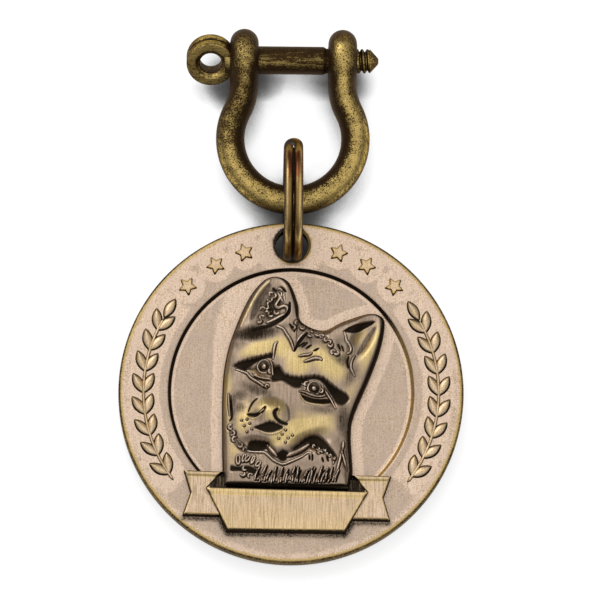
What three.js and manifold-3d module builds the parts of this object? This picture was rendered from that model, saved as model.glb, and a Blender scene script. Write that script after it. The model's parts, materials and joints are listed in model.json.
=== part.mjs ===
// A brass dog tag lying on a table: a struck disc with a cast dog's head and ribbon set on it,
// a split ring through its hole, and a bow shackle with a screw pin.
// Millimetres. +X is right across the tag, +Y runs from the tag to the shackle, +Z is up.

import * as THREE from 'three';
import { mergeVertices } from 'three/addons/utils/BufferGeometryUtils.js';
import Module from 'manifold-3d';

const wasm = await Module();
wasm.setup();

// Fits between pieces
const seatGap = 0.3;
const pinClearance = 0.2;
const overcut = 1;

// The disc
const tagDiameter = 50;
const tagThickness = 2.8;
const edgeChamfer = 0.45;
const bandWidth = 7.3;
const fieldDepth = 0.7;
const holeDiameter = 4.8;
const holeWall = 1.1;
const countersink = 0.35;

// Struck ornament on the band
const ornamentRise = 0.4;
const starReach = 1.3;
const starNotch = 0.56;
const starAngles = [18.6, 30.8, 43.7];
const branchStart = 128;
const branchEnd = 55;
const stemWidth = 0.45;
const leafCount = 8;
const leafLength = 3.2;
const leafWidth = 1.25;
const leafSpread = 27;

// The dog's head, drawn for a field of one radius and scaled to the field it sits in
const headDrawnField = 17.7;
const headEdgeRise = 1.5;
const headRise = 2.5;

// The ribbon
const ribbonTurn = -1.4;
const ribbonShift = -0.2;
const ribbonMargin = 3.95;
const panelHeight = 6.05;
const panelTopWidth = 23.2;
const panelBottomWidth = 17.4;
const panelRise = 1.7;
const tailReach = 15;
const tailInner = 9.6;
const tailHeight = 6.6;
const tailLift = 2.1;
const tailNotch = 1;
const tailRise = 1;
const foldWidth = 0.9;
const foldRise = 0.6;

// The split ring
const ringDiameter = 17.8;
const ringWire = 1.15;
const ringStrandGap = 0.45;
const ringJog = 48;
const ringEndGap = 4;

// The shackle
const bowGap = 1.5;
const rodDiameter = 4.2;
const jawWidth = 10.2;
const bowBulge = 1.95;
const legBend = 8.5;
const legLength = 3.7;
const eyeDiameter = 9.2;

// The screw pin
const shankDiameter = 4.1;
const shankChamfer = 0.4;
const threadDiameter = 3.6;
const threadDepth = 0.35;
const threadPitch = 0.8;
const threadFlank = 0.25;
const threadTurns = 2;
const tipLength = 1.4;
const tipDiameter = 1.4;
const pinHeadDiameter = 6.9;
const pinHeadThickness = 2.9;
const pinHeadMouth = 4.3;
const pinHeadThroat = 3.2;
const pinHeadGroove = 0.35;
const pinHeadWall = 0.35;
const pinHeadTurn = 43;

// Worked-out sizes
const degree = Math.PI / 180;
const tagRadius = tagDiameter / 2;
const fieldRadius = tagRadius - bandWidth;
const fieldLevel = tagThickness - fieldDepth;
const holeRadius = holeDiameter / 2;
const holeCentre = tagRadius - holeWall - holeRadius;
const bandMiddle = fieldRadius + bandWidth / 2;
const ringOuter = ringDiameter / 2;
const ringInner = ringOuter - ringWire;
const ringStrand = (ringWire + ringStrandGap) / 2;
const rodRadius = rodDiameter / 2;
const legOffset = (jawWidth + rodDiameter) / 2;
const bowRadius = legOffset + bowBulge;
const bendHeight = bowRadius + Math.sqrt((bowRadius + legBend) ** 2 - (legOffset + legBend) ** 2);
const shackleReach = bendHeight + legLength;
const eyeRadius = eyeDiameter / 2;
const eyeFace = legOffset + rodRadius;
const jawFace = jawWidth / 2;

// Surfaces
function metal(colour, roughness) {
  return new THREE.MeshStandardMaterial({ color: colour, roughness, metalness: 1 });
}

const tagBronze = metal(0xc8af99, 0.42);
const headBrass = metal(0x9a8561, 0.4);
const ribbonBrass = metal(0xccb191, 0.4);
const ringBrass = metal(0xa78b57, 0.3);
const bowBrass = metal(0x7a6238, 0.45);
const pinBrass = metal(0x6b5530, 0.45);

// Joining and cutting of closed bodies
function solidOf(geometry) {
  const bare = geometry.clone();
  bare.deleteAttribute('normal');
  bare.deleteAttribute('uv');
  const welded = mergeVertices(bare, 1e-4);
  const vertProperties = new Float32Array(welded.attributes.position.array);
  const triVerts = new Uint32Array(welded.index.array);
  return new wasm.Manifold(new wasm.Mesh({ numProp: 3, vertProperties, triVerts }));
}

function geometryOf(solid) {
  const mesh = solid.getMesh();
  const geometry = new THREE.BufferGeometry();
  geometry.setAttribute('position', new THREE.Float32BufferAttribute(mesh.vertProperties, 3));
  geometry.setIndex(new THREE.Uint32BufferAttribute(mesh.triVerts, 1));
  return geometry;
}

function named(name, solid, material) {
  const mesh = new THREE.Mesh(geometryOf(solid), material);
  mesh.name = name;
  return mesh;
}

// A body turned about Z from [radius, height] points, bottom first
function turned(profile, sides) {
  const points = profile.map(([radius, height]) => new THREE.Vector2(radius, height));
  const geometry = new THREE.LatheGeometry(points, sides);
  geometry.rotateX(Math.PI / 2);
  return geometry;
}

function plate(shape, bottom, top, curveSegments = 4) {
  const depth = top - bottom;
  const geometry = new THREE.ExtrudeGeometry(shape, { depth, bevelEnabled: false, curveSegments });
  geometry.translate(0, 0, bottom);
  return geometry;
}

function polygon(points) {
  return new THREE.Shape(points.map(([x, y]) => new THREE.Vector2(x, y)));
}

// A round bar along X
function barAlongX(radius, from, to, sides = 24) {
  const geometry = new THREE.CylinderGeometry(radius, radius, to - from, sides);
  geometry.rotateZ(Math.PI / 2);
  geometry.translate((from + to) / 2, 0, 0);
  return geometry;
}

// Places a shape that is drawn at the origin pointing along +Y on the band, at an angle from the hole
function ontoBand(geometry, angle) {
  geometry.translate(0, bandMiddle, 0);
  geometry.rotateZ(-angle * degree);
  return geometry;
}

function starShape() {
  const points = [];
  for (let i = 0; i < 10; i += 1) {
    const radius = i % 2 === 0 ? starReach : starNotch;
    const angle = (90 + i * 36) * degree;
    points.push([radius * Math.cos(angle), radius * Math.sin(angle)]);
  }
  return polygon(points);
}

function leafShape() {
  const shape = new THREE.Shape();
  shape.moveTo(0, 0);
  shape.quadraticCurveTo(leafLength / 2, leafWidth, leafLength, 0);
  shape.quadraticCurveTo(leafLength / 2, -leafWidth, 0, 0);
  return shape;
}

function stemShape() {
  const shape = new THREE.Shape();
  const from = (90 - branchStart) * degree;
  const to = (90 - branchEnd) * degree;
  shape.absarc(0, 0, bandMiddle + stemWidth / 2, from, to, false);
  shape.absarc(0, 0, bandMiddle - stemWidth / 2, to, from, true);
  return shape;
}

// One laurel branch on the right of the band, its leaves in pairs along the stem
function laurelBranch(bottom, top) {
  let branch = solidOf(plate(stemShape(), bottom, top, 12));
  const step = (branchStart - branchEnd) / leafCount;
  for (let i = 0; i < leafCount; i += 1) {
    const angle = branchStart - (i + 0.35) * step;
    for (const side of [1, -1]) {
      const leaf = plate(leafShape(), bottom, top, 3);
      leaf.rotateZ(Math.PI - side * leafSpread * degree);
      branch = branch.add(solidOf(ontoBand(leaf, angle)));
    }
  }
  return branch;
}

function tagDisc() {
  const profile = [
    [0, 0],
    [tagRadius - edgeChamfer, 0],
    [tagRadius, edgeChamfer],
    [tagRadius, tagThickness - edgeChamfer],
    [tagRadius - edgeChamfer, tagThickness],
    [fieldRadius, tagThickness],
    [fieldRadius, fieldLevel],
    [0, fieldLevel],
  ];
  const hole = turned([
    [0, -overcut],
    [holeRadius, -overcut],
    [holeRadius, tagThickness - countersink],
    [holeRadius + countersink, tagThickness],
    [holeRadius + countersink, tagThickness + overcut],
    [0, tagThickness + overcut],
  ], 32);
  hole.translate(0, holeCentre, 0);
  const bottom = fieldLevel;
  const top = tagThickness + ornamentRise;
  let disc = solidOf(turned(profile, 80));
  for (const angle of starAngles) {
    for (const side of [1, -1]) {
      disc = disc.add(solidOf(ontoBand(plate(starShape(), bottom, top), side * angle)));
    }
  }
  const branch = laurelBranch(bottom, top);
  disc = disc.add(branch).add(branch.mirror([1, 0, 0]));
  return disc.subtract(solidOf(hole));
}

// Outline of the head from its lower right corner, over both ears, to its lower left corner
const headOutline = [
  [8.5, -14.4], [8.96, -11.8], [8.67, -6.3], [9.2, -3.2], [11.5, 2.4], [12.9, 6.4], [13.5, 9.9],
  [12.9, 11.2], [11.0, 11.5], [7.4, 10.3], [4.5, 9.0], [1.4, 10.3], [0.9, 12.9], [-0.4, 16.0],
  [-2.4, 16.9], [-4.2, 16.2], [-6.2, 13.7], [-8.1, 9.4], [-9.4, 5.1], [-9.95, 0.1], [-9.9, -8.8],
  [-9.7, -14.0],
];

// Swells and hollows of the face: place, half length, half width, turn and rise
const headForms = [
  { at: [0, 3.5], along: 10, across: 9, turn: 0, rise: 0.45 },
  { at: [-3.4, 12.8], along: 5.2, across: 2.5, turn: 70, rise: -1.2 },
  { at: [10.3, 7.7], along: 5, across: 2, turn: 62, rise: -1.2 },
  { at: [-4.2, 3.0], along: 3.2, across: 1.7, turn: -20, rise: -1.1 },
  { at: [4.2, -0.2], along: 3.6, across: 1.8, turn: -28, rise: -1.1 },
  { at: [-2.4, -5.2], along: 6.6, across: 5.2, turn: -12, rise: 1.1 },
  { at: [-3.1, -3.4], along: 3.2, across: 2.2, turn: -10, rise: 0.6 },
  { at: [-5.2, -8.2], along: 3.4, across: 1.8, turn: -5, rise: -0.8 },
  { at: [2.9, -7.4], along: 4.4, across: 2.4, turn: 25, rise: -0.9 },
  { at: [-0.6, -9.4], along: 3.4, across: 1.6, turn: 5, rise: 0.5 },
];

function formRise(form, x, y) {
  const turn = form.turn * degree;
  const dx = x - form.at[0];
  const dy = y - form.at[1];
  const along = (dx * Math.cos(turn) + dy * Math.sin(turn)) / form.along;
  const across = (dy * Math.cos(turn) - dx * Math.sin(turn)) / form.across;
  const inside = Math.max(0, 1 - along * along - across * across);
  return form.rise * inside * inside;
}

const headSides = 72;
const headBottomSides = 10;
const headLevels = 12;

function headBoundary() {
  const curve = new THREE.SplineCurve(headOutline.map(([x, y]) => new THREE.Vector2(x, y)));
  const points = curve.getSpacedPoints(headSides - headBottomSides);
  const from = points[points.length - 1];
  for (let i = 1; i < headBottomSides; i += 1) {
    points.push(from.clone().lerp(points[0], i / headBottomSides));
  }
  return points;
}

// The head as rings of points drawn in from its outline to the middle of the face
function dogHead() {
  const boundary = headBoundary();
  const scale = fieldRadius / headDrawnField;
  const positions = [];
  const triangles = [];
  const sides = boundary.length;
  const addRing = (share, height) => {
    for (const point of boundary) {
      const x = point.x * share;
      const y = point.y * share;
      positions.push(x * scale, y * scale, height(x, y));
    }
  };
  const top = (share) => (x, y) => {
    const crown = headEdgeRise + (headRise - headEdgeRise) * (1 - share ** 6);
    return headForms.reduce((sum, form) => sum + formRise(form, x, y) * (1 - share ** 12), crown);
  };
  addRing(1, () => 0);
  for (let level = 0; level < headLevels; level += 1) {
    const share = 1 - level / headLevels;
    addRing(share, top(share));
  }
  const rings = headLevels + 1;
  for (let ring = 0; ring + 1 < rings; ring += 1) {
    for (let i = 0; i < sides; i += 1) {
      const a = ring * sides + i;
      const b = ring * sides + (i + 1) % sides;
      triangles.push(a, b, b + sides, a, b + sides, a + sides);
    }
  }
  const middle = positions.length / 3;
  positions.push(0, 0, top(0)(0, 0));
  const base = positions.length / 3;
  positions.push(0, 0, 0);
  for (let i = 0; i < sides; i += 1) {
    const next = (i + 1) % sides;
    triangles.push((rings - 1) * sides + i, (rings - 1) * sides + next, middle);
    triangles.push(next, i, base);
  }
  const geometry = new THREE.BufferGeometry();
  geometry.setAttribute('position', new THREE.Float32BufferAttribute(positions, 3));
  geometry.setIndex(triangles);
  geometry.translate(0, 0, fieldLevel + seatGap);
  return solidOf(geometry);
}

// The room that the ribbon leaves for the head: its outline moved out along each side by the gap
function headRoom(bottom, top) {
  const scale = fieldRadius / headDrawnField;
  const boundary = headBoundary();
  const sides = boundary.length;
  const grown = boundary.map((point, i) => {
    const before = boundary[(i + sides - 1) % sides];
    const after = boundary[(i + 1) % sides];
    const outward = new THREE.Vector2(after.y - before.y, before.x - after.x).setLength(seatGap);
    return point.clone().multiplyScalar(scale).add(outward);
  });
  return solidOf(plate(new THREE.Shape(grown), bottom, top));
}

// The ribbon: a front panel, two notched tails behind it and the folds between them
function ribbon() {
  const panelBottom = -(tagRadius - ribbonMargin);
  const panelTop = panelBottom + panelHeight;
  const tailBottom = panelBottom + tailLift;
  const tailTop = tailBottom + tailHeight;
  const tailMiddle = (tailBottom + tailTop) / 2;
  const panelFoot = panelBottomWidth / 2;
  const panelCorner = panelTopWidth / 2;
  const foldInner = tailInner - foldWidth;
  const panel = polygon([
    [-panelFoot, panelBottom],
    [panelFoot, panelBottom],
    [panelCorner, panelTop],
    [-panelCorner, panelTop],
  ]);
  const tail = (side) => polygon([
    [side * panelFoot, tailBottom],
    [side * tailReach, tailBottom],
    [side * (tailReach - tailNotch), tailMiddle],
    [side * tailReach, tailTop],
    [side * tailInner, tailTop],
    [side * panelCorner, panelTop],
  ]);
  const fold = (side) => polygon([
    [side * foldInner, panelTop],
    [side * panelCorner, panelTop],
    [side * tailInner, tailTop],
    [side * foldInner, tailTop],
  ]);
  const seat = tagThickness + seatGap;
  const floor = fieldLevel + seatGap;
  const fill = solidOf(turned([
    [0, floor],
    [fieldRadius - seatGap, floor],
    [fieldRadius - seatGap, seat + foldRise / 2],
    [0, seat + foldRise / 2],
  ], 80));
  const laid = (shape, rise) => {
    const place = (bottom, top) => {
      const geometry = plate(shape, bottom, top);
      geometry.translate(ribbonShift, 0, 0);
      geometry.rotateZ(ribbonTurn * degree);
      return solidOf(geometry);
    };
    return place(seat, tagThickness + rise).add(place(floor, tagThickness + rise).intersect(fill));
  };
  let whole = laid(panel, panelRise);
  for (const side of [1, -1]) {
    whole = whole.add(laid(tail(side), tailRise)).add(laid(fold(side), foldRise));
  }
  return whole.subtract(headRoom(fieldLevel - overcut, tagThickness + panelRise + overcut));
}

// Middle line of the split ring: two turns side by side, with a short jog from one to the other
class SplitRingLine extends THREE.Curve {
  getPoint(t, target = new THREE.Vector3()) {
    const end = ringJog / 2 + ringEndGap;
    const angle = end + t * (720 - 2 * end);
    const across = THREE.MathUtils.clamp((angle - 360) / (ringJog / 2), -1, 1);
    const radius = ringOuter - ringWire / 2;
    const x = ringStrand * Math.sin(across * Math.PI / 2);
    return target.set(x, radius * Math.cos(angle * degree), radius * Math.sin(angle * degree));
  }
}

function roundSection(radius, sides) {
  const points = [];
  for (let i = 0; i < sides; i += 1) {
    const angle = (i + 0.5) / sides * 2 * Math.PI;
    points.push([radius * Math.cos(angle), radius * Math.sin(angle)]);
  }
  return polygon(points);
}

function sweep(section, path, steps) {
  return new THREE.ExtrudeGeometry(section, { extrudePath: path, steps, bevelEnabled: false });
}

function splitRing() {
  return solidOf(sweep(roundSection(ringWire / 2, 6), new SplitRingLine(), 60));
}

// Least gap between the two turns of the ring, measured on points of its middle line
function ringSelfGap() {
  const quarterTurn = 60;
  const points = new SplitRingLine().getPoints(8 * quarterTurn);
  let least = Infinity;
  for (let i = 0; i < points.length; i += 1) {
    for (let j = i + quarterTurn; j < points.length; j += 1) {
      least = Math.min(least, points[i].distanceTo(points[j]) - ringWire);
    }
  }
  return least;
}

// Middle line of the bow, from the left eye round the bow to the right eye
function bowLine() {
  const leg = legOffset;
  const lean = Math.atan2(bendHeight - bowRadius, leg + legBend);
  const path = new THREE.CurvePath();
  const flat = (x, y) => new THREE.Vector3(x, y, 0);
  const arc = (x, y, radius, from, to) => {
    const points = new THREE.EllipseCurve(x, y, radius, radius, from, to, from > to).getPoints(16);
    return new THREE.CatmullRomCurve3(points.map((point) => flat(point.x, point.y)));
  };
  path.add(new THREE.LineCurve3(flat(-leg, shackleReach), flat(-leg, bendHeight)));
  path.add(arc(-leg - legBend, bendHeight, legBend, 0, -lean));
  path.add(arc(0, bowRadius, bowRadius, -Math.PI - lean, lean));
  path.add(arc(leg + legBend, bendHeight, legBend, Math.PI + lean, Math.PI));
  path.add(new THREE.LineCurve3(flat(leg, bendHeight), flat(leg, shackleReach)));
  return path;
}

// An eye of the shackle: a disc with a fully rounded rim, its axis along X
function shackleEye(x) {
  const profile = [[0, -rodRadius]];
  for (let i = 0; i <= 8; i += 1) {
    const angle = (i / 8 - 0.5) * Math.PI;
    profile.push([eyeRadius - rodRadius + rodRadius * Math.cos(angle), rodRadius * Math.sin(angle)]);
  }
  profile.push([0, rodRadius]);
  const geometry = turned(profile, 32);
  geometry.rotateY(Math.PI / 2);
  geometry.translate(x, shackleReach, 0);
  return solidOf(geometry);
}

function shackleBow() {
  let bow = solidOf(sweep(roundSection(rodRadius, 14), bowLine(), 56));
  bow = bow.add(shackleEye(-legOffset)).add(shackleEye(legOffset));
  const widest = Math.max(shankDiameter, threadDiameter);
  const plainBore = barAlongX(widest / 2 + pinClearance, -eyeFace - overcut, 0);
  const threadBore = barAlongX(threadDiameter / 2 + pinClearance, 0, eyeFace + overcut);
  for (const bore of [plainBore, threadBore]) {
    bore.translate(0, shackleReach, 0);
    bow = bow.subtract(solidOf(bore));
  }
  return bow;
}

// The pin along X: eye head on the left, plain shank across the jaw, threaded end on the right
function shacklePin() {
  const shoulder = -eyeFace - seatGap;
  const headCentre = shoulder - pinHeadWall - pinHeadMouth / 2;
  const shank = shankDiameter / 2;
  const crest = threadDiameter / 2;
  const root = crest - threadDepth;
  const shankEnd = jawFace - seatGap;
  const threadStart = eyeFace + seatGap;
  const profile = [
    [0, shoulder - pinHeadWall],
    [shank, shoulder - pinHeadWall],
    [shank, shankEnd - shankChamfer],
    [shank - shankChamfer, shankEnd],
    [crest, shankEnd],
    [crest, threadStart - threadFlank],
    [root, threadStart],
  ];
  for (let turn = 0; turn < threadTurns; turn += 1) {
    const from = threadStart + turn * threadPitch;
    const to = from + threadPitch;
    profile.push([crest, from + threadFlank], [crest, to - threadFlank], [root, to]);
  }
  const threadEnd = threadStart + threadTurns * threadPitch;
  profile.push([root, threadEnd + threadDepth / 2], [tipDiameter / 2, threadEnd + tipLength]);
  profile.push([0, threadEnd + tipLength]);
  const shankBody = turned(profile, 24);
  shankBody.rotateY(Math.PI / 2);
  const rim = pinHeadDiameter / 2;
  const half = pinHeadThickness / 2;
  const head = turned([
    [pinHeadMouth / 2, -half],
    [rim - pinHeadGroove, -half],
    [rim, -half + pinHeadGroove],
    [rim, -pinHeadGroove],
    [rim - pinHeadGroove, 0],
    [rim, pinHeadGroove],
    [rim, half - pinHeadGroove],
    [rim - pinHeadGroove, half],
    [pinHeadMouth / 2, half],
    [pinHeadThroat / 2, 0],
    [pinHeadMouth / 2, -half],
  ], 32);
  head.rotateX(pinHeadTurn * degree);
  head.translate(headCentre, 0, 0);
  const beyond = new THREE.BoxGeometry(pinHeadDiameter, pinHeadDiameter * 2, pinHeadDiameter * 2);
  beyond.translate(shoulder + pinHeadDiameter / 2, 0, 0);
  return solidOf(head).subtract(solidOf(beyond)).add(solidOf(shankBody));
}

// Where the pieces come to rest on the table, in the plane x = 0, Y counted from the tag's lower edge.
// The ring leans in the hole until it meets the wall at the back and the mouth in front.
function ringCentreOnTag() {
  const reach = Math.sqrt(holeRadius ** 2 - ringStrand ** 2);
  const back = new THREE.Vector2(holeCentre + reach, 0);
  const front = new THREE.Vector2(holeCentre - reach, tagThickness);
  const toBack = ringInner - seatGap;
  const toFront = ringOuter + seatGap;
  const span = back.distanceTo(front);
  const share = (toFront ** 2 - toBack ** 2 + span ** 2) / (2 * span);
  const rise = Math.sqrt(toFront ** 2 - share ** 2);
  const along = back.clone().sub(front).divideScalar(span);
  const upward = new THREE.Vector2(-along.y, along.x);
  return front.clone().addScaledVector(along, share).addScaledVector(upward, rise);
}

const ringOnTag = ringCentreOnTag();
const tagToe = tagRadius - edgeChamfer;
const ringReach = Math.hypot(ringOnTag.x + tagToe, ringOnTag.y);
const tagTilt = Math.asin(ringOuter / ringReach) - Math.atan2(ringOnTag.y, ringOnTag.x + tagToe);
const onTag = (y, z) => new THREE.Vector3(
  0,
  (y + tagToe) * Math.cos(tagTilt) - z * Math.sin(tagTilt),
  (y + tagToe) * Math.sin(tagTilt) + z * Math.cos(tagTilt),
);
const ringCentre = onTag(ringOnTag.x, ringOnTag.y);

// The bow lies on the ring's lower wire, just clear of the tag's edge, and its eyes lie on the table.
const rodY = onTag(tagRadius, 0).y + bowGap + rodRadius;
const rodSeat = ringInner - seatGap - rodRadius;
const rodZ = ringCentre.z - Math.sqrt(rodSeat ** 2 - (rodY - ringCentre.y) ** 2);
const rodCentre = new THREE.Vector3(0, rodY, rodZ);
const bowTilt = Math.asin((eyeRadius - rodZ) / shackleReach);

// Assembly
const tag = new THREE.Group();
tag.position.copy(onTag(0, 0));
tag.rotation.x = tagTilt;
tag.add(named('tag_disc', tagDisc(), tagBronze));
tag.add(named('dog_head', dogHead(), headBrass));
tag.add(named('ribbon', ribbon(), ribbonBrass));

const ring = new THREE.Group();
ring.position.copy(ringCentre);
ring.add(named('split_ring', splitRing(), ringBrass));

const shackle = new THREE.Group();
shackle.position.copy(rodCentre);
shackle.rotation.x = bowTilt;
shackle.add(named('shackle_bow', shackleBow(), bowBrass));
const pin = named('shackle_pin', shacklePin(), pinBrass);
pin.position.y = shackleReach;
shackle.add(pin);

// The origin is under the middle of the whole object, on the table.
const dogTag = new THREE.Group();
dogTag.add(tag, ring, shackle);
const box = new THREE.Box3().setFromObject(dogTag, true);
const middle = box.getCenter(new THREE.Vector3());
dogTag.position.set(-middle.x, -middle.y, -box.min.z);
dogTag.updateMatrixWorld(true);

console.log(`Least gap between the ring's turns: ${ringSelfGap().toFixed(3)} mm`);

export default dogTag;
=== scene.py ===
"""Looks of a brass dog tag: a struck disc with a cast head and a ribbon, a split ring and a bow shackle.

Sizes are in metres. The head and the ribbon are drawn in millimetres, as seen with the tag upright.
"""

import json
import math

import bmesh
import bpy
import numpy as np
from bpy.props import FloatProperty, FloatVectorProperty, PointerProperty
from mathutils import Matrix, Vector


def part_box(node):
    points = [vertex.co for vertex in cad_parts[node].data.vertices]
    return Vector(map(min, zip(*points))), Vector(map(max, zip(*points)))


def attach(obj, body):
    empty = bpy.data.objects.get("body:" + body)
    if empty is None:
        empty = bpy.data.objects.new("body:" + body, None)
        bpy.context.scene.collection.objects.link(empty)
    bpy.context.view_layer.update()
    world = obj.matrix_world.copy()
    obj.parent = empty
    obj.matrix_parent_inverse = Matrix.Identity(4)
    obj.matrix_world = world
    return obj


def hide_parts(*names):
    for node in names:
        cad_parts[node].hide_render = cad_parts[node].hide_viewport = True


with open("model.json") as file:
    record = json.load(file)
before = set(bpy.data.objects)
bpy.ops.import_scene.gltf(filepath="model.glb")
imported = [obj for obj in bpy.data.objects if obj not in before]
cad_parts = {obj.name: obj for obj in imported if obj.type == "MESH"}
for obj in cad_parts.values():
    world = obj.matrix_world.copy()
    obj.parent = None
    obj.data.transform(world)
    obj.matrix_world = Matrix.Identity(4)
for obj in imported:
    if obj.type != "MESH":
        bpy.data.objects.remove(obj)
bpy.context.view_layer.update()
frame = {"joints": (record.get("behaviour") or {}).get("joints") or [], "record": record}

bl_info = {
    "name": "Brass dog tag",
    "version": (1, 0, 0),
    "blender": (4, 5, 0),
    "location": "3D View > Sidebar > Dog tag",
    "description": "Models a brass dog tag on its split ring and bow shackle",
    "category": "Add Mesh",
}

MM = 0.001
WELD = 1e-7
TINY = 0.1 * MM
FULL_TURN = 2 * math.pi
QUARTER_TURN = math.pi / 2
MIRROR = Matrix.Scale(-1, 4, (1, 0, 0))

# Name of the attribute that holds a piece's patina, worn brass and bloom, which also carry painted shade and
# painted highlights
FINISH = "finish"


# Frames of the three links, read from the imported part

def named(records, name):
    return next(record for record in records if record["name"] == name)


def leaning(origin, lean):
    """A frame at origin, turned about X."""
    return Matrix.Translation(origin) @ Matrix.Rotation(lean, 4, "X")


mounts = frame["record"]["mounts"]
joints = frame["joints"]
tag_back = named(mounts, "tag_back")
rod_centre = Vector(named(joints, "ring_swing")["pos_m"])
pin_offset = Vector(named(mounts, "collar_pin")["pos_m"]) - rod_centre
PIN_REACH = pin_offset.length
TAG_FRAME = leaning(tag_back["pos_m"], math.asin(tag_back["axis"][1]))
RING_FRAME = Matrix.Translation(named(joints, "tag_swing")["pos_m"])
SHACKLE_FRAME = leaning(rod_centre, math.atan2(pin_offset.z, pin_offset.y))


# Settings that a user would change

def linear(red, green, blue):
    """A colour given as it looks on a screen, from 0 to 255, as the shader reads it."""
    shares = [value / 255 for value in (red, green, blue)]
    return [s / 12.92 if s <= 0.04045 else ((s + 0.055) / 1.055) ** 2.4 for s in shares]


def length(name, description, millimetres):
    metres = millimetres * MM
    return FloatProperty(name=name, description=description, default=metres, unit="LENGTH", precision=5)


def turn(name, description, degrees):
    radians = math.radians(degrees)
    return FloatProperty(name=name, description=description, default=radians, subtype="ANGLE")


def colour(name, description, red, green, blue):
    return FloatVectorProperty(
        name=name, description=description, default=linear(red, green, blue), subtype="COLOR", min=0, max=1
    )


class DiscSizes(bpy.types.PropertyGroup):
    """The struck disc and the ornament on its band"""

    radius: length("Radius", "Half the width of the disc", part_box("tag_disc")[1].x / MM)
    thickness: length("Thickness", "Thickness at the band", 2.8)
    edge_round: length("Edge rounding", "Radius of the rounded rim", 0.55)
    field_radius: length("Field radius", "Radius of the sunk field at the band's edge", 17.8)
    field_lift: length("Field lift", "How far the field's edge is drawn up towards the hole", 0.45)
    field_depth: length("Field depth", "How far the field lies below the band", 0.7)
    field_slope: length("Field slope", "Width of the sloping wall round the field", 0.32)
    hole_radius: length("Hole radius", "Radius of the ring hole", 2.4)
    hole_centre: length("Hole centre", "From the disc's middle to the hole's", 21.7)
    countersink: length("Countersink", "Width of the hole's sloping mouth", 0.36)
    band_middle: length("Band middle", "Radius of the circle that the branches follow", 21.35)
    star_circle: length("Star circle", "Radius of the circle that the stars sit on", 21.6)
    ornament_rise: length("Ornament rise", "How far stars and leaves stand above the band", 0.4)
    star_reach: length("Star reach", "From a star's middle to a tip", 1.62)
    star_notch: length("Star notch", "From a star's middle to a notch", 0.76)
    leaf_length: length("Leaf length", "Length of a laurel leaf", 3.2)
    leaf_width: length("Leaf width", "Width of a laurel leaf", 1.3)
    leaf_spread: turn("Leaf spread", "Angle between a leaf and the stem", 27)


class ReliefSizes(bpy.types.PropertyGroup):
    """The head and the ribbon"""

    edge_rise: length("Edge rise", "Height of the head at its rounded edge", 1.8)
    edge_round: length("Edge rounding", "Radius of the head's rounded edge", 0.85)
    crown_rise: length("Crown rise", "Further rise from the edge to the middle of the face", 1.0)
    panel_rise: length("Panel rise", "Height of the ribbon's panel above the band", 2.0)
    tail_rise: length("Tail rise", "Height of the ribbon's tails above the band", 1.2)
    fold_rise: length("Fold rise", "Height of the ribbon's folds above the band", 0.8)
    ribbon_turn: turn("Ribbon turn", "Turn of the ribbon on the tag", -1.1)


class LinkSizes(bpy.types.PropertyGroup):
    """The split ring, the shackle and its pin"""

    ring_radius: length("Ring radius", "Outer radius of the split ring", 8.9)
    ring_wire: length("Ring wire", "Thickness of the ring's wire", 1.15)
    ring_width: length("Ring width", "Width of the ring's wire along its axis", 1.34)
    ring_gap: length("Ring gap", "Gap between the ring's two turns", 0.05)
    ring_turn: turn("Ring turn", "How far the jog stands above the ring's far end", 13.5)
    ring_jog: turn("Ring jog", "Arc over which the wire crosses to its second turn", 48)
    ring_end_gap: turn("Ring end gap", "Arc between a cut end and the jog", 4)
    rod_radius: length("Rod radius", "Half the thickness of the bow", 2.1)
    leg_offset: length("Leg offset", "From the middle of the jaw to the middle of a leg", 7.2)
    bow_radius: length("Bow radius", "Radius of the bow's middle line", 9.15)
    leg_bend: length("Leg bend", "Radius of the bend from bow to leg", 8.5)
    eye_radius: length("Eye radius", "Radius of the shackle's eyes", 4.6)
    plain_bore: length("Plain bore", "Radius of the bore in the left eye", 2.25)
    thread_bore: length("Thread bore", "Radius of the bore in the right eye", 2.0)
    shank_radius: length("Shank radius", "Half the thickness of the pin", 2.05)
    thread_radius: length("Thread radius", "Radius of the thread's crests", 1.8)
    thread_depth: length("Thread depth", "Depth of the thread", 0.42)
    thread_pitch: length("Thread pitch", "Distance between two crests", 0.8)
    pin_head_radius: length("Pin head radius", "Outer radius of the pin's eye head", 3.55)
    pin_head_thickness: length("Pin head thickness", "Thickness of the pin's eye head", 3.1)
    pin_head_turn: turn("Pin head turn", "Turn of the eye head about the pin", 43)


class Finishes(bpy.types.PropertyGroup):
    """Colours of the metal and its patina"""

    # The worn colours show both wear and painted highlights, the tag's pale colour both bloom and painted
    # light, and brown and patina both real blackening and painted shade
    tag_body: colour("Tag", "Rose bronze of the disc", 198, 176, 158)
    tag_pale: colour("Tag, pale", "Paler bloom round the ornament", 228, 202, 180)
    tag_gilt: colour("Tag, worn", "Yellow brass of rim and edges", 200, 170, 112)
    relief_body: colour("Relief", "Brushed brass of the head", 170, 149, 129)
    relief_gilt: colour("Relief, worn", "Bright brass on the swells", 216, 190, 132)
    relief_pale: colour("Relief, pale", "Rubbed lines of the chasing", 226, 206, 186)
    ribbon_body: colour("Ribbon", "Brushed brass of the ribbon", 205, 178, 146)
    ribbon_gilt: colour("Ribbon, worn", "Bright edges of the ribbon", 221, 192, 138)
    ring_body: colour("Ring", "Polished brass of the ring", 142, 114, 68)
    ring_gilt: colour("Ring, worn", "Bright brass of the ring", 220, 188, 124)
    shackle_body: colour("Shackle", "Antique brass of the shackle", 112, 88, 44)
    shackle_gilt: colour("Shackle, worn", "Rubbed brass on the shackle's crests", 232, 200, 120)
    shackle_copper: colour("Shackle, copper", "Reddish tint where the plating is thin", 122, 70, 44)
    brown: colour("Brown patina", "Brown left on the ring and the shackle", 46, 30, 16)
    patina: colour("Patina", "Blackening left in the hollows of the tag", 30, 23, 18)


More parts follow.
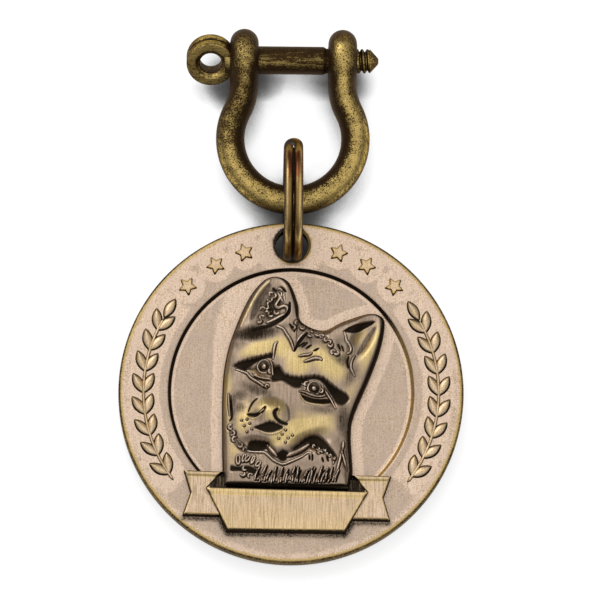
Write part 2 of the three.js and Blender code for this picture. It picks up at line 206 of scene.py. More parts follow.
class StageSettings(bpy.types.PropertyGroup):
    """Camera, floor and light"""

    azimuth: turn("Azimuth", "Camera's turn round the object", -3.81)
    elevation: turn("Elevation", "Camera's height above the horizon", 76.46)
    roll: turn("Roll", "Turn of the picture", 4.29)
    distance: length("Distance", "From the camera to its target", 900)
    target: FloatVectorProperty(
        name="Target", description="Middle of the picture", default=(0.0012, -0.00093, 0.004),
        subtype="XYZ", unit="LENGTH",
    )
    lens: FloatProperty(name="Lens", description="Focal length in millimetres", default=371.9)
    floor_colour: colour("Floor", "Colour of the table", 140, 140, 140)
    floor_lift: FloatProperty(
        name="Floor lift", description="Light that makes the table white to the eye", default=0.88
    )
    key_power: FloatProperty(name="Key light", description="Power of the softbox", default=1.8, unit="POWER")
    sky_strength: FloatProperty(name="Sky", description="Strength of the light from overhead", default=1.3)


class DogTagSettings(bpy.types.PropertyGroup):
    """Everything about the dog tag that can be set"""

    disc: PointerProperty(type=DiscSizes)
    relief: PointerProperty(type=ReliefSizes)
    links: PointerProperty(type=LinkSizes)
    finishes: PointerProperty(type=Finishes)
    stage: PointerProperty(type=StageSettings)


def settings():
    return bpy.context.scene.dog_tag


# Lines and tones

# Direction of the shaded side of a stroke, to the right and below
SHADED_RIGHT = 0.6
SHADED_UP = -0.8


def smoothstep(low, high, value):
    """A smooth rise from 0 at low to 1 at high, or a fall where high is the smaller."""
    share = np.clip((value - low) / (high - low), 0, 1)
    return share * share * (3 - 2 * share)


def most(*values):
    """The largest of several values at each point."""
    return np.maximum.reduce(np.broadcast_arrays(*values))


def through(points, steps=6):
    """A smooth open line through points."""
    line = np.array(points, float)
    if len(line) < 3:
        return line
    ends = np.vstack([line[:1], line, line[-1:]])
    share = np.linspace(0, 1, steps, endpoint=False)[:, None]
    pieces = []
    for a, b, c, d in zip(ends, ends[1:], ends[2:], ends[3:]):
        rising = (c - a) / 2
        falling = (d - b) / 2
        pieces.append(
            b + rising * share + (3 * (c - b) - 2 * rising - falling) * share**2
            + (2 * (b - c) + rising + falling) * share**3
        )
    return np.vstack(pieces + [line[-1:]])


def evenly(line, count):
    """Points at equal steps along a line, both ends included."""
    steps = np.hypot(*np.diff(line, axis=0).T)
    run = np.concatenate([[0], np.cumsum(steps)])
    places = np.linspace(0, run[-1], count)
    return np.stack([np.interp(places, run, line[:, axis]) for axis in (0, 1)], axis=1)


def nearest_on(line, u, v):
    """Distance of each point from a line of straight steps, the share of the line's length where it is
    nearest, and how much the point lies to the shaded side."""
    far = np.full(u.shape, np.inf)
    run = np.zeros(u.shape)
    shaded = np.zeros(u.shape)
    for index, ((au, av), (bu, bv)) in enumerate(zip(line, line[1:])):
        du = bu - au
        dv = bv - av
        share = np.clip(((u - au) * du + (v - av) * dv) / (du * du + dv * dv + 1e-12), 0, 1)
        off_u = u - au - share * du
        off_v = v - av - share * dv
        here = np.hypot(off_u, off_v)
        nearer = here < far
        far = np.where(nearer, here, far)
        run = np.where(nearer, (index + share) / (len(line) - 1), run)
        side = (SHADED_RIGHT * off_u + SHADED_UP * off_v) / (here + 1e-9)
        shaded = np.where(nearer, side, shaded)
    return far, run, shaded


def distance_to(line, u, v):
    return nearest_on(line, u, v)[0]


def inside(outline, u, v):
    """Which points lie within a closed outline: those with an odd number of its edges to their right."""
    odd = np.zeros(u.shape, bool)
    for (au, av), (bu, bv) in zip(outline, np.roll(outline, -1, axis=0)):
        crosses = (av > v) != (bv > v)
        rise = bv - av if bv != av else 1
        odd ^= crosses & (u < (bu - au) * (v - av) / rise + au)
    return odd


# Drawing of the head in millimetres: right across the tag, up towards the hole

HEAD_OUTLINE = [
    (8.5, -14.4), (8.96, -11.8), (8.67, -6.3), (9.2, -3.2), (11.5, 2.4), (12.9, 6.4), (13.5, 9.9),
    (12.9, 11.2), (11.0, 11.5), (7.4, 10.3), (4.5, 9.0), (1.4, 10.3), (0.9, 12.9), (-0.4, 16.0),
    (-2.4, 16.9), (-4.2, 16.2), (-6.2, 13.7), (-8.1, 9.4), (-9.4, 5.1), (-9.95, 0.1), (-9.9, -8.8),
    (-9.7, -14.0),
]

# Swells and hollows: place, half length, half width, turn in degrees and rise
HEAD_SWELLS = [
    ((0, 3.5), 10, 9, 0, 0.45),
    ((-5, 6.3), 4.5, 2.2, 12, 0.15),
    ((5.5, 4), 4.5, 3, -35, 0.4),
    ((0.8, 4), 2.4, 3, 0, 0.3),
    ((-3.4, 12.8), 5.2, 2.5, 70, -1.2),
    ((10.3, 7.7), 5, 2, 62, -1.2),
    ((-4.4, 3.0), 3.6, 1.9, -20, -1.1),
    ((4.2, -0.2), 4, 2, -28, -1.1),
    ((-2.4, -5.2), 6.6, 5.2, -12, 1.1),
    ((-3.1, -3.2), 3.2, 2.4, -10, 0.8),
    ((-5.2, -8.2), 3.4, 1.6, -5, -0.8),
    ((2.9, -7.6), 4.4, 2.0, 25, -0.9),
    ((-1.0, -9.0), 2.6, 1.5, 5, 0.5),
    ((5, -4.5), 4, 3, -30, 0.35),
]

# Tones brushed over the swells, the dark ones painted shade that models the forms and the bright ones worn
# brass that is partly painted highlight: place, half length, half width, turn, patina and worn brass
HEAD_TONES = [
    ((-4.2, 6.1), 4.0, 1.6, 14, 0, 1.0),
    ((-1.4, 6.2), 1.6, 2.2, 30, 0, 0.9),
    ((1.0, 3.9), 2.2, 2.4, -20, 0, 1.0),
    ((5.6, 4.2), 4.2, 2.6, -40, 0, 1.0),
    ((11.2, 6.2), 4.6, 1.4, 68, 0, 0.8),
    ((8.2, -0.4), 3.4, 1.2, 60, 0.1, 0.6),
    ((-9.2, 0), 9, 1.0, 92, 0, 0.7),
    ((-3.0, -2.6), 2.6, 1.6, -8, 0, 1.0),
    ((-6.8, -3.8), 3.4, 1.6, 80, 0, 0.9),
    ((-0.6, -6.9), 3.2, 1.6, 25, 0, 1.0),
    ((3.4, -4.4), 4.2, 2.2, -15, 0, 0.8),
    ((-8.2, -9), 3, 1.2, 90, 0, 0.6),
    ((-5.4, 8.3), 4.2, 1.5, 8, 0.85, 0),
    ((-7.6, 6.7), 1.8, 1.3, 15, 0.5, 0),
    ((-5.0, -0.1), 3.4, 1.2, -20, 0.6, 0),
    ((-5.8, -1.4), 1.2, 1.6, 0, 0.4, 0),
    ((-7.3, -0.8), 1.6, 1.2, 0, 0.55, 0),
    ((-7.5, -2.7), 1.4, 1.2, 0, 0.55, 0),
    ((-4.3, 3.2), 1.7, 0.9, 10, 0.85, 0),
    ((3.4, 0.2), 1.8, 0.9, -25, 0.85, 0),
    ((1.2, -2.6), 1.4, 2.4, 24, 0.22, 0),
    ((0.1, -3.6), 0.8, 1.8, 0, 0.35, 0),
    ((4.2, -2.9), 3.2, 0.9, -6, 0.5, 0),
    ((3.0, -3.0), 1.6, 1.4, 0, 0.35, 0),
    ((7.2, 4.4), 2.6, 1.2, -35, 0.55, 0),
    ((10.0, 8.0), 1.8, 1.0, 60, 0, 0.7),
    ((-2.6, -4.3), 1.6, 0.9, 0, 0, 0.8),
    ((2.2, 7.4), 2.6, 2.0, 30, 0.5, 0),
    ((8.6, 2.2), 2.6, 1.2, 62, 0.5, 0),
    ((-8.6, 3.6), 2.4, 0.9, 88, 0.45, 0),
    ((-7.4, 7.2), 2.0, 0.9, 66, 0.4, 0),
    ((4.6, 6.6), 2.4, 1.0, -35, 0.4, 0),
    ((-2.8, 12.4), 3.4, 1.9, 66, 0.78, 0),
    ((-4.6, 13.0), 3.2, 0.8, 62, 0.45, 0),
    ((-2.4, 9.0), 3.2, 0.7, 10, 0.5, 0),
    ((6.8, 7.0), 1.6, 1.2, 60, 0.45, 0),
    ((1.5, -5.6), 2.8, 1.6, 12, 0, 1.3),
    ((-1.2, -8.9), 1.2, 1.0, 0, 0.45, 0),
    ((2.6, -10.8), 3.6, 0.9, 0, 0.35, 0),
    ((0.6, -12.6), 7.0, 1.3, 0, 0.55, 0),
    ((6.8, -7.8), 1.2, 2.0, 25, 0.4, 0),
    ((7.6, -4.4), 1.4, 3.4, 0, 0.6, 0),
    ((7.8, -10), 1.0, 4.0, 0, 0.5, 0),
    ((-8.3, -2.5), 3.6, 0.8, 90, 0.5, 0),
    ((-7.6, -7.2), 2.6, 0.9, -55, 0.35, 0),
    ((-6.4, -10.2), 2.6, 0.9, -8, 0.4, 0),
]

# Dark hollows: softness of the edge, length of the brushing at the upper edge, rise, then the outline
HEAD_HOLLOWS = [
    (0.25, 0.6, -0.35, [
        (-8.5, 3.5), (-7.5, 4.0), (-6, 4.4), (-4, 4.9), (-2.9, 5.2), (-2.7, 4.6), (-3.5, 4.5), (-4.8, 4.1),
        (-6.1, 3.3), (-6.6, 2.8), (-7.5, 3.0),
    ]),
    (0.3, 0.75, -0.35, [
        (-2.7, 3.2), (-1.7, 3.3), (-1, 2.2), (1, 1.7), (3.5, 2.0), (4.8, 1.55), (5.7, 0.85), (6.8, 0.1),
        (8.1, -0.7), (8.3, -1.4), (7.5, -2.1), (6.6, -1.8), (5.6, -0.5), (4.6, 0.95), (3.4, 1.5), (2, 1.2),
        (1.3, 0.4), (0.4, 0.3), (-0.6, 0.9), (-1.4, 1.3), (-2.8, 1.3),
    ]),
    (0.12, 0.1, -0.4, [
        (1.3, -0.7), (2.2, -1.05), (3.5, -1.3), (5.2, -1.25), (5.6, -1.75), (4.4, -1.95), (3.3, -1.9),
        (2.1, -1.55),
    ]),
    (0.18, 0.5, -0.35, [
        (-5.4, -5.7), (-3.9, -5.2), (-3.0, -4.95), (-1.9, -5.3), (-1.2, -5.65), (-2, -6.1), (-3.1, -6.35),
        (-4.4, -6.1),
    ]),
    (0.2, 0.5, -0.3, [
        (-6.0, -7.7), (-5.4, -7.5), (-3.9, -7.6), (-3.1, -7.9), (-3.5, -8.6), (-5, -8.95), (-6.2, -8.7),
    ]),
    (0.3, 0.55, -0.3, [
        (0.2, -8.6), (1.2, -7.7), (2.2, -6.9), (3.2, -6.6), (4.2, -6.8), (5.2, -7.8), (6.3, -9.1),
        (6.5, -9.8), (5, -9.3), (3.8, -8.7), (2.9, -8.3), (2.6, -7.6), (1.4, -8.2), (0.5, -8.8),
    ]),
    (0.3, 0.5, -0.2, [
        (-2.1, -9.5), (-1.2, -8.9), (-0.3, -9.3), (-0.5, -10.1), (-1.1, -10.5), (-1.8, -10.2),
    ]),
    (0.14, 0.1, -0.4, [
        (7.5, 8.7), (8.2, 9.2), (9.2, 9.7), (10.5, 10.1), (11.9, 10.35), (11.6, 9.9), (10.6, 9.3),
        (9.8, 8.75), (8.8, 8.5),
    ]),
    (0.25, 0.3, -0.2, [
        (-8.7, -11.1), (-7.2, -11.3), (-5.8, -11.2), (-4.5, -12), (-4.6, -12.6), (-6, -12.1), (-7, -11.9),
        (-8.6, -11.9),
    ]),
]

# Rise, patina of the core, patina beside it, worn brass and rubbed paleness, for each kind of stroke; a
# shade stroke is painted shade with a slight dip
STROKE_KINDS = {
    "bead": (0.3, 0.0, 1.0, 0.0, 1.0),
    "curl": (0.22, 0.0, 0.9, 0.0, 0.85),
    "ridge": (0.3, 0.12, 0.95, 0.0, 0.6),
    "lip": (0.14, 0.0, 0.0, 0.6, 0.5),
    "cut": (-0.28, 1.0, 0.0, 0.0, 0.0),
    "shade": (-0.05, 0.55, 0.0, 0.0, 0.0),
}

# Strokes of the chasing tool: kind, half width and points
HEAD_STROKES = [
    # Left ear
    ("shade", 0.55, [(-3.2, 15.5), (-4, 14.5), (-5, 12.5), (-5.8, 10.5)]),
    ("shade", 0.35, [(-3.9, 16.2), (-5.0, 15.0), (-6.2, 13.2), (-7.2, 11.2), (-8, 9.2)]),
    ("lip", 0.3, [(-3.2, 16.2), (-4.3, 15), (-5.3, 13.6), (-6.2, 12), (-6.9, 10.5), (-7.4, 9.3)]),
    ("bead", 0.2, [
        (-2, 14.3), (-1.8, 13.6), (-2.2, 12.9), (-2.4, 12.5), (-2, 12.1), (-1.3, 12.3), (-0.8, 12.2),
        (-0.6, 11.8), (-0.8, 11.2), (-1.8, 10.7), (-2.8, 10.2), (-3.6, 9.9),
    ]),
    ("curl", 0.1, [(-1.5, 14.4), (-1.6, 13.6), (-1.4, 13.1)]),
    ("curl", 0.1, [(-1.2, 14.3), (-1.1, 13.2)]),
    ("cut", 0.16, [(-2.8, 15.1), (-2.3, 14.6)]),
    ("cut", 0.16, [(-1.6, 15.2), (-0.9, 14.5)]),
    ("cut", 0.26, [
        (-5.5, 8.7), (-4.5, 9.1), (-3.5, 9.3), (-2.5, 9.7), (-1.5, 10.3), (-0.8, 11), (-0.4, 11.8),
        (-0.3, 12.8),
    ]),
    # Forehead
    ("bead", 0.15, [(-2.2, 9.3), (-1.3, 8.9), (-0.7, 8), (-0.2, 7.2), (0.1, 6.4), (0.3, 5.7)]),
    ("cut", 0.2, [(2.3, 8.4), (1.5, 7.5), (0.9, 6.6), (0.4, 5.6)]),
    ("curl", 0.1, [(2.0, 8.6), (1.2, 7.7), (0.7, 6.9)]),
    ("cut", 0.13, [(1, 6.3), (1.9, 6.9)]),
    ("cut", 0.13, [(1.5, 6.2), (2.3, 6.9)]),
    ("cut", 0.13, [(2.1, 6), (2.8, 6.5)]),
    ("cut", 0.15, [(-0.3, 9.6), (0.4, 8.5)]),
    ("bead", 0.14, [(1.05, 4.8), (1.8, 5.0), (2.5, 5.1), (2.9, 5.35)]),
    ("bead", 0.18, [(1.9, 4.05), (2.7, 4.35), (3.3, 4.55), (4, 4.5), (4.3, 4.3)]),
    ("cut", 0.14, [(3.2, 5.65), (3.9, 6)]),
    # Right ear
    ("shade", 0.35, [(12.9, 10.6), (13.0, 8), (12.4, 6), (11.6, 4), (10.8, 2)]),
    ("bead", 0.15, [(7.6, 8.6), (7.8, 7.9), (7.9, 7.3), (8.3, 6.8), (8.6, 6.2), (8.5, 5.7), (8.1, 5.4)]),
    ("shade", 0.42, [(12, 9.3), (11, 7.8), (10.3, 6.5), (9.6, 5.5)]),
    ("bead", 0.14, [(9.2, 5.2), (8.8, 4.6), (8.6, 3.8), (8.6, 3.2), (8.9, 2.5), (9.1, 2.1)]),
    ("cut", 0.14, [(8.3, 5), (8.1, 4.2), (8.2, 3.2)]),
    ("cut", 0.14, [(7.2, 6.5), (7.6, 5.7)]),
    ("cut", 0.14, [(6.7, 6.7), (7.1, 5.8)]),
    # Left eye
    ("bead", 0.15, [(-2.1, 6.9), (-2.4, 6.5), (-2.6, 5.5), (-2.7, 4.4)]),
    ("bead", 0.12, [(-3.1, 4.2), (-2.8, 3.4), (-2.7, 2.2)]),
    ("bead", 0.15, [
        (-8, 2.9), (-7, 2.55), (-6.4, 2.3), (-5.9, 1.7), (-5.3, 1.3), (-4.6, 0.85), (-4, 0.4), (-3.5, 0.2),
    ]),
    ("lip", 0.3, [(-6.2, 2.8), (-5.4, 2.7), (-5.0, 2.2)]),
    ("cut", 0.18, [(-5.4, 1.9), (-4.5, 1.5), (-3.1, 1.3)]),
    ("lip", 0.18, [(-4.1, 0.85), (-3.2, 0.7)]),
    # Right eye
    ("bead", 0.15, [(1.2, -0.3), (2, -0.4), (3, -0.75), (4.2, -0.85), (5, -0.6)]),
    ("bead", 0.15, [(4.8, 0.2), (5.2, -0.5), (5.7, -1.3), (6.4, -2.7)]),
    ("lip", 0.14, [(1.2, -0.5), (1.6, -1.4), (2.5, -2.0), (4.5, -2.2), (5.6, -2.0)]),
    ("curl", 0.1, [(1.5, 0.9), (2.0, 0.3), (1.8, -0.1)]),
    ("curl", 0.1, [(4.4, 1.0), (4.6, 0.4), (5.0, 0.0)]),
    # Nose
    ("cut", 0.1, [(-6.2, -3.4), (-5.9, -2.6), (-5.4, -1.8), (-4.9, -1.4)]),
    ("shade", 0.16, [(-0.7, -2.2), (-0.35, -3.1), (-0.3, -4.4), (-0.7, -4.9)]),
    ("cut", 0.3, [(-3.8, -2.8), (-4.15, -3.35), (-4.7, -3.8), (-5.3, -3.9), (-6.2, -3.74)]),
    ("lip", 0.07, [(-3.95, -3.05), (-4.3, -3.4), (-4.6, -3.6)]),
    ("lip", 0.12, [(-4.3, -3.75), (-4.9, -4.25), (-5.6, -4.4), (-6.3, -4.2)]),
    ("cut", 0.3, [(-1.95, -3), (-2.4, -3.5), (-2.3, -4.1), (-1.9, -4.6), (-1.3, -5), (-0.6, -5.2)]),
    ("lip", 0.12, [(-1.7, -3.2), (-2.0, -3.7), (-1.9, -4.2), (-1.3, -4.7)]),
    ("lip", 0.14, [(-5, -5.9), (-4, -6.45), (-3, -6.65), (-2, -6.5), (-1.2, -6)]),
    # Mouth and chin
    ("bead", 0.14, [
        (-8, -7), (-7.2, -7.9), (-6.4, -8.6), (-6, -9), (-4.5, -9.1), (-3.8, -9.2), (-3.2, -9.7),
        (-2.5, -10.3), (-1.5, -10.8), (-0.9, -10.85), (0.2, -10.4), (1.5, -9.8), (2.3, -9.2), (2.9, -9.1),
    ]),
    ("ridge", 0.24, [(-3.4, -8.2), (-2.8, -8.95), (-2.05, -9.75)]),
    ("ridge", 0.3, [(-0.5, -9.7), (1.1, -8.85), (2.6, -7.85)]),
    ("cut", 0.13, [(2.7, -9.5), (2.75, -10.2)]),
    ("cut", 0.13, [(3.1, -9.4), (3.1, -10.3)]),
    ("cut", 0.13, [(4.5, -9.9), (4.7, -10.5)]),
    ("cut", 0.13, [(5.2, -9.7), (5.4, -10.4)]),
    ("bead", 0.17, [(7.6, -7.5), (7.45, -8.7)]),
    ("bead", 0.17, [(7.44, -8.6), (7.0, -10.4), (6.36, -12.8)]),
    ("bead", 0.16, [(7.35, -8.9), (7.7, -10.2), (8.15, -11.6)]),
    ("bead", 0.14, [(6.3, -9.8), (6.1, -10.8)]),
    # Left cheek and base
    ("shade", 0.4, [(-8.8, -5.2), (-8.5, -6.8), (-7.6, -8.2), (-6.3, -9.1)]),
    ("bead", 0.12, [(-9.1, -0.6), (-8.9, -3.8)]),
    ("cut", 0.12, [(-8.75, -0.9), (-8.55, -3.9), (-8.9, -4.6)]),
    ("shade", 0.3, [(-8.2, -1.0), (-8.3, -2.4)]),
    ("cut", 0.3, [(-9.2, -13.75), (0, -13.9), (8.3, -13.9)]),
    ("shade", 0.3, [(8.1, -6), (8.2, -10), (8.0, -13.6)]),
]

# Small curls of hair: place, radius, and in degrees the angle where each one starts and how far it runs
HEAD_CURLS = [
    (-3.0, 14.2, 0.3, 40, 250), (-3.2, 13.5, 0.32, 200, 260), (-3.2, 12.8, 0.3, 60, 250),
    (-3.7, 12.3, 0.3, 220, 250), (-4.2, 12.0, 0.3, 10, 240), (-3.0, 11.2, 0.36, 90, 290),
    (-4.3, 10.7, 0.32, 30, 260), (-4.7, 10.2, 0.3, 210, 250), (-3.6, 11.4, 0.28, 300, 250),
    (-2.2, 11.5, 0.36, 150, 240), (-2.6, 14.0, 0.28, 250, 240), (-1.8, 14.7, 0.3, 0, 200),
    (0.8, 9.8, 0.3, 60, 240), (1.5, 9.3, 0.32, 200, 260), (3.2, 8.7, 0.3, 30, 260),
    (3.8, 8.3, 0.32, 180, 250), (2.7, 8.1, 0.28, 120, 240), (0.2, 9.1, 0.26, 270, 240),
    (4.4, 7.9, 0.26, 0, 300), (5.0, 7.4, 0.28, 90, 300), (5.6, 6.6, 0.28, 180, 300),
    (6.0, 5.5, 0.3, 30, 300), (6.5, 5.4, 0.26, 200, 300), (5.4, 7.0, 0.24, 300, 260),
    (-3.5, 0.35, 0.24, 0, 330), (-3.0, 2.7, 0.26, 100, 240), (2.2, 0.9, 0.3, 60, 260),
    (4.3, 0.0, 0.26, 220, 280), (-8.7, -5.5, 0.3, 80, 280), (-8.5, -6.4, 0.34, 250, 270),
    (-8.1, -7.3, 0.34, 60, 280), (-7.3, -8.1, 0.3, 200, 270), (-6.6, -8.7, 0.26, 20, 270),
    (-6.9, -12.3, 0.3, 200, 260), (-5.8, -12.6, 0.32, 30, 270), (-6.6, -11.5, 0.28, 120, 260),
    (3.3, -8.1, 0.18, 20, 300), (3.9, -8.5, 0.2, 200, 300), (4.5, -8.9, 0.18, 90, 300),
    (5.1, -9.3, 0.2, 300, 300), (5.7, -9.6, 0.18, 30, 300), (6.2, -9.9, 0.2, 210, 300),
    (4.9, -8.7, 0.16, 150, 300), (4.1, -9.1, 0.16, 60, 300),
]

# Locks of hair at the jaw: place, half height, half width and lean in degrees
HEAD_LOCKS = [
    (-7.6, -10.3, 0.66, 0.26, 0), (-6.75, -10.0, 0.6, 0.18, 20), (-6.2, -10.1, 0.5, 0.22, 34),
    (-5.45, -10.25, 0.62, 0.16, 24), (-4.7, -10.85, 0.46, 0.24, 42),
]

# Whisker dots
HEAD_DOTS = [
    (-7.2, -4.6), (-6.4, -4.5), (-6, -5.1), (-6.8, -5.4), (-6.4, -6.3), (-5.7, -5.9),
    (-0.8, -6.1), (-1.3, -6.7), (-1.8, -7.3), (-0.4, -7.2), (0.2, -6.8), (-0.8, -7.8),
]
DOT_RADIUS = 0.12

# The eyes: middle of the iris
HEAD_EYES = [(-4.0, 3.4), (3.3, 0.3)]
PUPIL_RADIUS = 0.34
IRIS_RADIUS = 0.9
IRIS_LINE = 0.1

# Half widths of the lines of hair, and the share of its listed run that a curl is drawn over
CURL_LINE = 0.16
CURL_SHARE = 0.75
LOCK_LINE = 0.13

# Strands of fur along the chin: where they stand, and the ranges that each one is drawn from
STRANDS_FROM = -5.2
STRANDS_TO = 6.4
STRAND_STEP = 0.34
STRAND_SEED = 7
STRAND_LEAN = (0.1, 1.1)
STRAND_TOP = (-12.5, -11.1)
STRAND_FOOT = (-13.7, -13.0)
STRAND_CUT = (0.13, 0.2)
STRAND_BEAD = (0.1, 0.15)

# Steps in which the upper edge of a hollow is brushed out
FEATHER_SHARES = (0, 0.2, 0.4, 0.6, 0.8)

# How far a brushed tone runs out beyond its size, and the width that a stroke keeps at its ends
TONE_SPREAD = 1.2
STROKE_END = 0.45


class Relief:
    """Height and finish of the head at many points at once, in millimetres."""

    def __init__(self, u, v):
        self.u = u
        self.v = v
        self.height = np.zeros(u.shape)
        self.patina = np.zeros(u.shape)
        self.gilt = np.zeros(u.shape)
        self.pale = np.zeros(u.shape)

    def hump(self, at, along, across, degrees):
        """A smooth bump, 1 in its middle and 0 from its oval edge outwards."""
        cosine = math.cos(math.radians(degrees))
        sine = math.sin(math.radians(degrees))
        du = self.u - at[0]
        dv = self.v - at[1]
        far = ((du * cosine + dv * sine) / along) ** 2 + ((dv * cosine - du * sine) / across) ** 2
        return np.clip(1 - far, 0, 1) ** 2

    def swell(self, at, along, across, degrees, rise):
        self.height += rise * self.hump(at, along, across, degrees)

    def tone(self, at, along, across, degrees, patina, gilt):
        """A patch with no edge to it, of patina that is painted shade and of worn brass that is partly
        painted highlight.
        """
        cover = np.sqrt(self.hump(at, along * TONE_SPREAD, across * TONE_SPREAD, degrees))
        self.patina = np.maximum(self.patina, patina * cover)
        self.gilt = np.maximum(self.gilt, gilt * cover) * (1 - patina * cover)

    def near(self, line, margin):
        """Which points lie in a box round a line."""
        low = line.min(axis=0) - margin
        high = line.max(axis=0) + margin
        return (self.u > low[0]) & (self.u < high[0]) & (self.v > low[1]) & (self.v < high[1])

    def hollow(self, soft, feather, rise, outline):
        """A dark hollow whose upper edge is brushed out raggedly over the feather's length."""
        line = through(list(outline) + [outline[0]], 4)
        close = self.near(line, soft + feather)
        u = self.u[close]
        v = self.v[close]
        ragged = 1 + 0.7 * np.sin(17 * u) * np.sin(7.3 * u + 1)
        cover = np.zeros(u.shape)
        for share in FEATHER_SHARES:
            lowered = v - share * feather * ragged
            depth = np.where(inside(line[:-1], u, lowered), 1, -1) * distance_to(line, u, lowered)
            cover = np.maximum(cover, (1 - share) * smoothstep(-soft, soft, depth))
            if share == 0:
                self.height[close] += rise * cover
        self.patina[close] = np.maximum(self.patina[close], cover)
        self.gilt[close] *= 1 - cover

    def stroke(self, kind, width, points):
        """A raised or cut line that tapers to both ends, blackened beside it, and more on its lower right
        side as painted shade.
        """
        rise, core_patina, side_patina, gilt, pale = STROKE_KINDS[kind]
        line = through(points)
        close = self.near(line, 3 * width)
        far, run, shaded = nearest_on(line, self.u[close], self.v[close])
        swelling = np.sin(math.pi * np.clip(run, 0.02, 0.98)) ** 0.6
        far = far / (width * (STROKE_END + (1 - STROKE_END) * swelling))
        core = np.exp(-far**2)
        # Patina beside the line, deepened on its lower right side as painted shade
        side = smoothstep(2.9, 1.5, far) * side_patina * (0.8 + 0.2 * shaded)
        self.height[close] += rise * (core - 0.5 * side * smoothstep(0.6, 1.6, far))
        patina = np.maximum(self.patina[close], side)
        self.patina[close] = patina + (core_patina - patina) * smoothstep(1.3, 0.7, far)
        clear = (1 - side) * (1 - core)
        self.gilt[close] = self.gilt[close] * clear + gilt * core
        self.pale[close] = self.pale[close] * clear + pale * core

    def ring(self, kind, width, at, radius, start=0, sweep=360):
        """A stroke round a circle or a part of one."""
        angles = np.radians(np.linspace(start, start + sweep, 14))
        circle = np.stack([np.cos(angles), np.sin(angles)], axis=1)
        self.stroke(kind, width, np.array(at) + radius * circle)

    def lock(self, u, v, tall, wide, lean):
        """A loop of hair, drawn as a narrow oval that leans to the right."""
        angles = np.radians(np.linspace(100, 430, 16))
        across = wide * np.cos(angles)
        up = tall * np.sin(angles)
        cosine = math.cos(math.radians(lean))
        sine = math.sin(math.radians(lean))
        oval = np.stack([u + across * cosine + up * sine, v + up * cosine - across * sine], axis=1)
        self.stroke("bead", LOCK_LINE, oval)

    def dot(self, at, radius):
        """A round bead in a dark socket."""
        self.stroke("bead", 1.6 * radius, [at, (at[0] + 0.02, at[1])])

    def eye(self, at):
        self.dot(at, PUPIL_RADIUS)
        self.ring("curl", IRIS_LINE, at, IRIS_RADIUS)

    def strands(self):
        """Upright strands of fur along the chin, each with a cut at its right."""
        chance = np.random.default_rng(STRAND_SEED)
        for foot in np.arange(STRANDS_FROM, STRANDS_TO, STRAND_STEP):
            lean = chance.uniform(*STRAND_LEAN)
            top = chance.uniform(*STRAND_TOP)
            low = chance.uniform(*STRAND_FOOT)
            points = [(foot, low), (foot + 0.35 * lean, (top + low) / 2), (foot + lean, top)]
            beside = [(u + STRAND_STEP / 2, v - 0.1) for u, v in points]
            self.stroke("cut", chance.uniform(*STRAND_CUT), beside)
            self.stroke("bead", chance.uniform(*STRAND_BEAD), points)

    def carve(self):
        """Works the whole head, from the broad forms to the hair."""
        for form in HEAD_SWELLS:
            self.swell(*form)
        for form in HEAD_TONES:
            self.tone(*form)
        for form in HEAD_HOLLOWS:
            self.hollow(*form)
        for at in HEAD_EYES:
            self.eye(at)
        for form in HEAD_STROKES:
            self.stroke(*form)
        for u, v, radius, start, sweep in HEAD_CURLS:
            self.ring("bead", CURL_LINE, (u, v), radius, start, CURL_SHARE * sweep)
        for form in HEAD_LOCKS:
            self.lock(*form)
        for at in HEAD_DOTS:
            self.dot(at, DOT_RADIUS)
        self.strands()


# Mesh tools

# The most of a straight step that a rounded corner takes, and how often a fused skin is smoothed
CORNER_SHARE = 0.45
SKIN_PASSES = 8


def woven(columns, rows, place):
    """A grid of faces laid where place(across, along) says, welded where its edges meet."""
    bm = bmesh.new()
    bmesh.ops.create_grid(bm, x_segments=columns, y_segments=rows, size=0.5)
    grid = np.array([vert.co[:2] for vert in bm.verts]) + 0.5
    points = np.stack(np.broadcast_arrays(*place(grid[:, 0], grid[:, 1])), axis=1)
    for vert, point in zip(bm.verts, points.tolist()):
        vert.co = point
    return closed(bm)


def closed(bm):
    """Welds a body, fills its open ends and turns its faces outwards."""
    bmesh.ops.remove_doubles(bm, verts=bm.verts, dist=WELD)
    bmesh.ops.dissolve_degenerate(bm, edges=bm.edges, dist=WELD)
    bmesh.ops.holes_fill(bm, edges=[edge for edge in bm.edges if edge.is_boundary], sides=0)
    bmesh.ops.recalc_face_normals(bm, faces=bm.faces)
    return bm


def lathe(profile, steps, loop=False):
    """A body turned about Z from points of (radius, height)."""
    bm = bmesh.new()
    verts = [bm.verts.new((radius, 0, height)) for radius, height in profile]
    edges = [bm.edges.new(pair) for pair in zip(verts, verts[1:])]
    if loop:
        edges.append(bm.edges.new((verts[-1], verts[0])))
    bmesh.ops.spin(bm, geom=verts + edges, axis=(0, 0, 1), angle=FULL_TURN, steps=steps, use_merge=True)
    return closed(bm)


def filleted(points, radius, steps=6):
    """A line whose inner corners are rounded."""
    line = [Vector(point) for point in points]
    rounded = [line[0]]
    for before, corner, after in zip(line, line[1:], line[2:]):
        into = (before - corner).normalized()
        out = (after - corner).normalized()
        room = CORNER_SHARE * min((before - corner).length, (after - corner).length)
        reach = min(radius / math.tan(into.angle(out) / 2), room)
        start = corner + into * reach
        end = corner + out * reach
        for step in range(steps + 1):
            share = step / steps
            rounded.append(start.lerp(corner, share).lerp(corner.lerp(end, share), share))
    rounded.append(line[-1])
    return rounded


def divided(points, spacing):
    """A line with points added so that no step is longer than spacing."""
    line = [Vector(points[0])]
    for point in points[1:]:
        start = line[-1]
        count = max(1, math.ceil((Vector(point) - start).length / spacing))
        line += [start.lerp(Vector(point), step / count) for step in range(1, count + 1)]
    return line


def of_kind(kind, items):
    """The verts, the edges or the faces among the things that an operator made."""
    return [item for item in items if isinstance(item, kind)]


